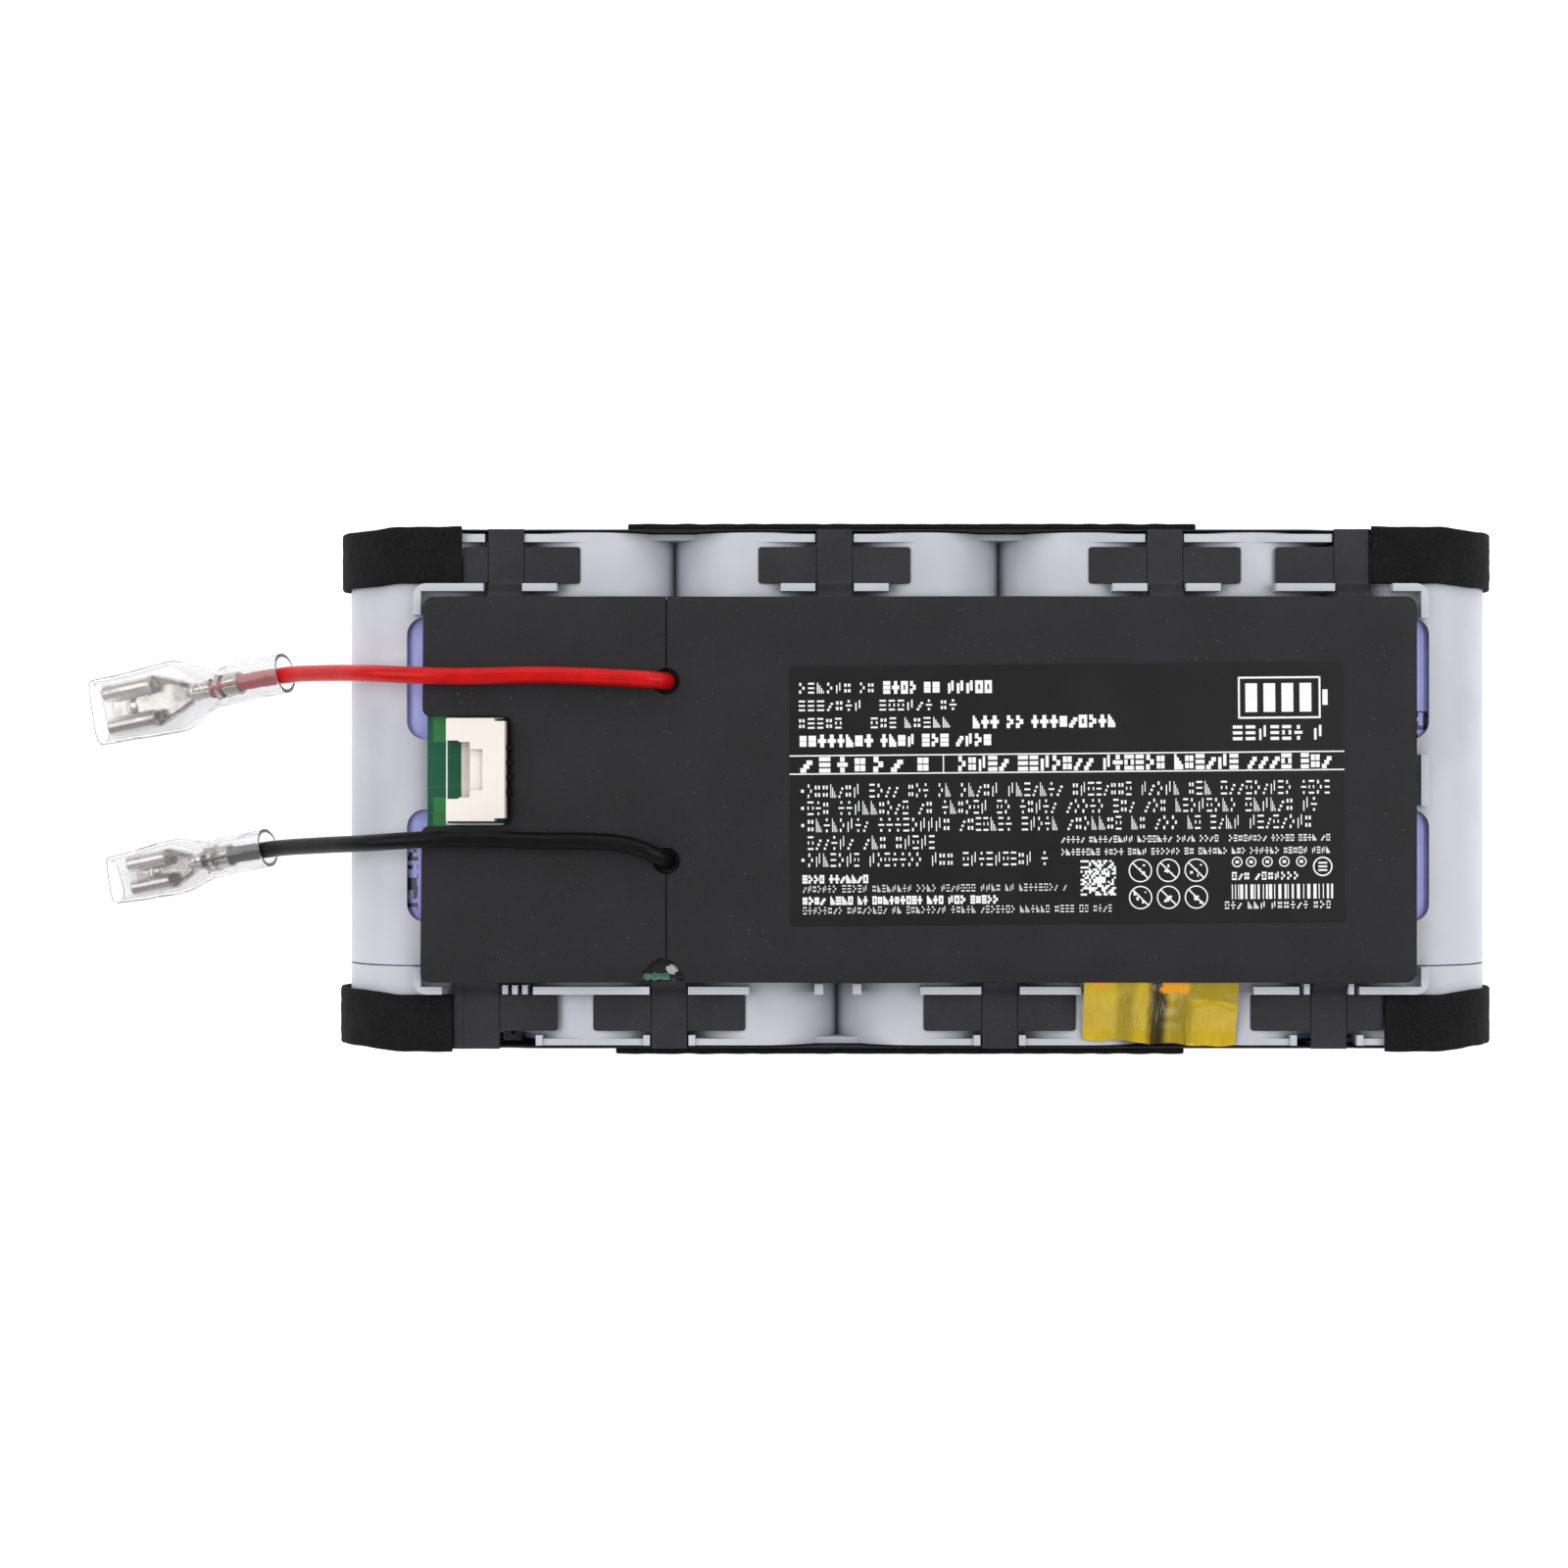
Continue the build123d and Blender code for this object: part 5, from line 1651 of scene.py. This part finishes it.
@dataclass
class EndPieces:
    """Foam strips round the corners, foam pads and papers over the ends. Sizes in mm."""

    tube: float = 11.65
    foam: float = 0.9
    extra: dict = field(default_factory=lambda: {"rear_left": 0.30, "front_left": 0.55})
    axis: float = 12.55
    end_axis: float = 67.8
    paper: float = 0.25
    valley: float = 56.5

    def build_corner(self, corner: str) -> bpy.types.Object:
        """Corner strip: a rounded section carried inwards over the top, round the end cell and in below.

        Args:
            corner: Which corner, such as rear_left.

        Returns:
            The strip.
        """
        node = f"{corner}_corner_foam"
        low, high = span(node)
        side_x = 1 if corner.endswith("right") else -1
        reach = (self.end_axis - low[0]) if side_x > 0 else (high[0] + self.end_axis)
        radius = self.tube + self.foam / 2 + 0.01
        arc = math.pi * radius
        travel = np.linspace(0, arc + 2 * reach, 190)
        angle = np.clip((travel - reach) / radius, 0, math.pi)
        before = np.maximum(reach - travel, 0)
        after = np.maximum(travel - reach - arc, 0)
        path_x = side_x * (self.end_axis + radius * np.sin(angle) - before - after)
        path_z = self.axis + radius * np.cos(angle)
        out_x, out_z = side_x * np.sin(angle), np.cos(angle)
        width, middle = high[1] - low[1], (low[1] + high[1]) / 2
        slip = -0.42 * math.copysign(1, middle) * ease((travel - reach - 3.0) / 6.0)
        fuller = self.extra.get(corner, 0.0) * np.sin(angle)
        path_x = path_x + side_x * fuller
        section = rounded_section(width, self.foam, 0.32, 4, 14)
        shrink = np.ones(len(travel))
        shrink[[0, -1]] = 0.93
        across = section[None, :, 0] * (1 - (1 - shrink[:, None]) * 0.1)
        out = section[None, :, 1] * shrink[:, None]
        wear = 0.05 * swell(travel[:, None] + 0 * across, across * 1.3, 2.4, 41 + len(corner))
        x = path_x[:, None] + out * out_x[:, None] + wear * out_x[:, None]
        z = path_z[:, None] + out * out_z[:, None] + wear * out_z[:, None]
        ragged = 0.10 * swell(travel[:, None] + 0 * across, across, 5.0, 51) * np.sign(across)
        y = middle + slip[:, None] + across + ragged
        rings = np.stack([x, y, np.maximum(z, 0.02)], axis=-1)
        piece = closed_form(f"{corner}_foam_strip", rings, FOAM)
        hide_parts(node)
        return piece

    def build_pad(self, end: str) -> bpy.types.Object:
        """End pad: a soft-edged block, its section carried along the pack and drawn in at both ends.

        Args:
            end: rear or front.

        Returns:
            The pad.
        """
        low, high = span(f"{end}_end_foam")
        centre, size = (low + high) / 2, high - low
        travel = np.concatenate([[0, 0.05, 0.15, 0.3], np.linspace(0.8, size[0] - 0.8, 150),
                                 size[0] - np.array([0.3, 0.15, 0.05, 0])])
        edge = np.minimum(travel, size[0] - travel)
        draw = 0.3 - np.sqrt(np.maximum(0.09 - np.maximum(0.3 - edge, 0) ** 2, 0))
        section = rounded_section(size[1], size[2], 0.3, 4, 16)
        y = section[None, :, 0] * (1 - draw[:, None] / size[1] * 2)
        z = section[None, :, 1] * (1 - draw[:, None] / size[2] * 2)
        x = np.broadcast_to(low[0] + travel[:, None], y.shape)
        outer = (np.sign(centre[1]) * y > 0)
        y = y + np.where(outer, 0.04 * swell(x, z, 3.0, 61), 0)
        rings = np.stack([x, centre[1] + y, centre[2] + z], axis=-1)
        piece = closed_form(f"{end}_foam_pad", rings, FOAM)
        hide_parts(f"{end}_end_foam")
        return piece

    def build_paper(self, end: str) -> bpy.types.Object:
        """End paper: a stadium outline drawn in from the middle, pressed a little into two valleys.

        Args:
            end: rear or front.

        Returns:
            The paper.
        """
        low, high = span(f"{end}_end_paper")
        side = 1 if end == "rear" else -1
        radius = (high[2] - low[2]) / 2
        straight = (high[0] - low[0]) / 2 - radius
        middle_z = (low[2] + high[2]) / 2
        x_share = np.linspace(-1, 1, 161)
        z_share = np.linspace(-1, 1, 25)
        x, share = np.meshgrid(x_share * (straight + radius), z_share)
        beyond = np.maximum(np.abs(x) - straight, 0)
        half = np.sqrt(np.maximum(radius ** 2 - beyond ** 2, 0.01))
        z = middle_z + share * half
        press = 0.10 * np.exp(-((np.abs(x) - self.valley) / 2.2) ** 2) * np.clip(np.abs(share), 0.3, 1)
        y = side * (max(abs(low[1]), abs(high[1])) - press)
        points = np.stack([x, y, z], axis=-1).reshape(-1, 3)
        faces = grid_faces(len(z_share), len(x_share))
        faces = faces if side < 0 else faces[:, ::-1]
        piece = make_piece(f"{end}_card", points, [faces], PAPER)
        add_wall(piece, self.paper)
        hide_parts(f"{end}_end_paper")
        return piece

    def build(self) -> None:
        """Builds all the foam and paper at both ends."""
        for corner in ("rear_left", "rear_right", "front_left", "front_right"):
            self.build_corner(corner)
        for end in ("rear", "front"):
            self.build_pad(end)
            self.build_paper(end)


@dataclass
class SensorTape:
    """Amber tape over the temperature sensor, creased and sagging into the valley between two cells.

    Places and sizes are in mm. A crease is its place along the pack, its rise and its width.
    """

    valley: float = 33.9
    thickness: float = 0.06
    start: float = -25.4
    seen: float = 9.4
    top: float = 27.46
    drop: float = 3.04
    creases: tuple = ((24.3, 0.10, 0.10), (28.1, -0.20, 0.30), (28.9, 0.12, 0.14), (30.0, 0.18, 0.16),
                      (31.6, 0.50, 0.30), (32.7, -0.35, 0.35), (35.3, 0.20, 0.24), (36.5, 0.22, 0.16))

    def build(self) -> bpy.types.Object:
        """Tape: height is the profile down from the board, less the sag, plus narrow ridges.

        Along the cells the profile eases from the board's height down to the end of the holder.
        Across them it sags as a bell in the valley, more towards the end. Each crease is a narrow bell
        whose line leans and wavers along the cells, and one fold fans out over the right-hand cell.

        Returns:
            The tape.
        """
        low, high = span("thermistor_tape")
        x, travel = np.meshgrid(np.linspace(low[0], high[0] - 0.8, 240), np.linspace(0, 1, 110))
        y = self.start - travel * (self.seen + 0.25 * swell(x, 0 * x, 5, 71) + 0.05 * (x - 33))
        profile = self.top - self.drop * ease((-y - 25.6) / self.seen)
        sag = ease((-y - 28.4) / 4.0) * 1.35 * np.exp(-((x - self.valley) / 2.7) ** 2)
        dips = np.exp(-((x - 28.0) / 1.1) ** 2) + np.exp(-((x - 35.8) / 0.9) ** 2)
        sag = sag + 0.5 * ease((-y - 27.4) / 2.0) * dips
        ridge = np.zeros_like(x)
        for centre, rise, width in self.creases:
            line = centre + 0.14 * np.sin(y * 0.8 + centre) + 0.07 * (y + 30) * math.sin(centre * 3)
            ridge = ridge + rise * np.exp(-((x - line) / width) ** 2) * ease((-y - 26.3) / 1.5)
        fold = (y + 28.6) + 0.16 * (x - 36.0) + 0.3 * np.sin(x * 0.9)
        fan = 0.28 * np.exp(-np.abs(fold) / 0.5) * ease((x - 36.2) / 2.0)
        z = profile - sag + ridge + fan + 0.012 * swell(x, y, 3.2, 73)
        points = np.stack([x, y, z], axis=-1).reshape(-1, 3)
        uv = np.stack([x, -y - 26.5], axis=-1).reshape(-1, 2)
        piece = make_piece("sensor_tape_film", points, [grid_faces(110, 240)[:, ::-1]], AMBER, uv=uv)
        add_wall(piece, self.thickness, 0.0)
        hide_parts("thermistor_tape")
        return piece


@dataclass
class TornEdge:
    """What shows through the tear in the cover: a chipped strip of board and a dab of glue, over a black card
    that is painted shadow under the tear.

    Sizes are in mm. The strip and the card, a black sheet of painted shadow, are their left, right, front and
    rear limits.
    """

    glue: tuple = (-33.75, -24.40, 27.1)
    glue_size: tuple = (0.85, 0.60, 0.55)
    strip: tuple = (-37.8, -34.2, -25.95, -25.05)
    strip_level: float = 27.0
    # card: a black sheet under the tear, painted shadow where the torn paper shades the board
    card: tuple = (-39.0, -31.4, -26.0, -22.6)
    shadow_sheet_level: float = 26.75
    wall: float = 0.08

    def build_patch(self, name: str, bounds: tuple, level: float, rough: float,
                    finish: Finish) -> bpy.types.Object:
        """Ragged patch: a grid whose rim wavers by a fine swell, slightly crumpled.

        Args:
            name: Name of the patch.
            bounds: Left, right, front and rear limits.
            level: Height of its top.
            rough: How far its rim wavers.
            finish: Its finish.

        Returns:
            The patch.
        """
        left, right, front, rear = bounds
        u, v = np.meshgrid(np.linspace(-1, 1, 40), np.linspace(-1, 1, 10))
        half_x = (right - left) / 2 + rough * swell(0 * v, v * 3, 1.1, 91)
        half_y = (rear - front) / 2 + rough * swell(u * 3, 0 * u, 1.1, 92)
        x = (left + right) / 2 + u * half_x
        y = (front + rear) / 2 + v * half_y
        z = level + 0.03 * swell(x, y, 1.3, 93)
        points = np.stack([x, y, z], axis=-1).reshape(-1, 3)
        piece = make_piece(name, points, [grid_faces(10, 40)], finish)
        add_wall(piece, self.wall)
        return piece

    def build(self) -> None:
        """Dab: a sphere stretched to its size, its radius changed by a lumpy swell; then the two patches, the
        black sheet of painted shadow and the chipped strip.
        """
        polar = np.linspace(0.02, np.pi - 0.02, 36)[:, None]
        around = np.linspace(0, 2 * np.pi, 48, endpoint=False)[None, :]
        x, y = np.sin(polar) * np.cos(around), np.sin(polar) * np.sin(around)
        z = np.cos(polar) + 0 * around
        lump = 1 + 0.22 * swell(x + z, y - z, 1.2, 81) + 0.10 * swell(x * 2, y * 2 + z, 0.8, 82)
        rings = np.stack([middle + size * lump * axis
                          for middle, size, axis in zip(self.glue, self.glue_size, (x, y, z))], axis=-1)
        dab = closed_form("glue_dab", rings, GLUE)
        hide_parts("adhesive_dab")
        # painted shadow: a black sheet under the tear
        self.build_patch("tear_shadow_sheet", self.card, self.shadow_sheet_level, 0.2, PAPER)
        self.build_patch("chipped_board_strip", self.strip, self.strip_level, 0.12, CHIPPED)


# ================================================================ studio
@dataclass
class Studio:
    """Floor, lights and camera. Places in metres, the floor's reach and level in mm, powers in watts."""

    eye: tuple = (-0.01865, 0.00067, 0.426)
    lens: float = 67.39
    sensor: float = 36.0
    nearest: float = 0.01
    floor_reach: float = 60000.0
    floor_level: float = -0.06
    world_strength: float = 0.36
    aside: tuple = (0.7, 1.0)
    endwise: tuple = (1.4, 0.5)

    def build_floor(self) -> None:
        """A wide pale floor just under the pack, which isn't a piece of it and rides on nothing."""
        plan = np.array([[-1, -1], [1, -1], [1, 1], [-1, 1]]) * self.floor_reach
        corners = np.column_stack([plan, np.full(4, self.floor_level)])
        floor = make_mesh("floor", corners, [np.array([[0, 1, 2, 3]])], FLOOR, smooth=False)

    def add_light(self, name: str, place: tuple, size: tuple, power: float) -> None:
        """Adds a soft rectangular light aimed at the pack.

        Args:
            name: Name of the light.
            place: Where it stands.
            size: Its width and height.
            power: Its power in watts.
        """
        data = bpy.data.lights.new(name, "AREA")
        data.shape = "RECTANGLE"
        data.size, data.size_y = size
        data.energy = power
        light = bpy.data.objects.new(name, data)
        spot = np.array(place)
        light.location = place
        back = spot / np.linalg.norm(spot)
        light.rotation_euler = (math.acos(back[2]), 0.0, math.atan2(back[1], back[0]) + math.pi / 2)
        bpy.context.scene.collection.objects.link(light)

    def build_world(self) -> None:
        """An even white world."""
        world = bpy.data.worlds.new("studio_world")
        world.use_nodes = True
        colour, strength = world.node_tree.nodes["Background"].inputs[:2]
        colour.default_value = grey(1.0)
        strength.default_value = self.world_strength
        bpy.context.scene.world = world

    def build_camera(self) -> None:
        """Camera straight above the pack, looking down, with the rear edge at the top of the view."""
        data = bpy.data.cameras.new("camera")
        data.lens = self.lens
        data.sensor_width = self.sensor
        data.clip_start = self.nearest
        camera = bpy.data.objects.new("camera", data)
        camera.location = self.eye
        bpy.context.scene.collection.objects.link(camera)
        bpy.context.scene.camera = camera

    def build(self) -> None:
        """Sets up the studio."""
        self.build_floor()
        self.build_world()
        self.add_light("left_soft_light", (-0.75, 0.15, 0.75), self.aside, 4.9)
        self.add_light("right_soft_light", (0.75, 0.15, 0.75), self.aside, 4.9)
        self.add_light("rear_soft_light", (0.0, 0.85, 0.6), self.endwise, 3.2)
        self.add_light("front_soft_light", (0.0, -0.85, 0.6), self.endwise, 1.3)
        self.build_camera()
        bpy.context.scene.view_settings.view_transform = "Standard"


POSITIVE = PowerLead(
    name="positive",
    route=((-0.0346, 0.0146, 0.0263), (-0.0346, 0.0146, 0.0295), (-0.0369, 0.01475, 0.0312),
           (-0.0410, 0.0150, 0.0310), (-0.0469, 0.0153, 0.0306), (-0.0537, 0.0154, 0.0307),
           (-0.0612, 0.01515, 0.0310), (-0.0684, 0.0153, 0.0308), (-0.0754, 0.01575, 0.0274),
           (-0.0816, 0.0160, 0.0214), (-0.08961, 0.01608, 0.01364), (-0.09946, 0.01426, 0.00959)),
    rear=(-88.7, 16.25, 14.0109), front=(-117.6, 10.9), tilt=22.0, lead_in=11.8,
    crimp=(7.2, 9.4), grip=(11.9, 15.2), front_gap=2.0, sleeve=(4.7, 9.4, 8.7, 11.6, 6.6),
    spread=Spread.WIDE, finish=RED, length=0.0754, stiffness="medium")
NEGATIVE = PowerLead(
    name="negative",
    route=((-0.0346, -0.0098, 0.0263), (-0.0346, -0.0098, 0.0294), (-0.0366, -0.0085, 0.0311),
           (-0.0404, -0.00725, 0.0309), (-0.0459, -0.00695, 0.0305), (-0.0530, -0.0070, 0.0306),
           (-0.0604, -0.0066, 0.0309), (-0.0684, -0.00685, 0.0307), (-0.0756, -0.0074, 0.0273),
           (-0.0822, -0.00775, 0.0212), (-0.09241, -0.00849, 0.01144), (-0.10104, -0.01026, 0.00788)),
    rear=(-91.5, -8.3, 11.8146), front=(-115.3, -13.2), tilt=22.0, lead_in=10.5,
    crimp=(5.9, 8.0), grip=(9.7, 12.2), front_gap=3.3, sleeve=(4.5, 7.2, 6.0, 8.8, 6.6),
    spread=Spread.NARROW, finish=BLACK, length=0.0781, stiffness="medium")


def main() -> None:
    """Builds the pack's visible pieces in order, then the studio."""
    logging.basicConfig(level=logging.INFO, format="%(name)s %(message)s")
    FrameParts().dress()
    POSITIVE.build()
    NEGATIVE.build()
    cover = BoardCover()
    cover.build()
    RatingLabel(cover).build()
    TabCrosses().build()
    EndPieces().build()
    SensorTape().build()
    TornEdge().build()
    Studio().build()


if __name__ == "__main__":
    main()
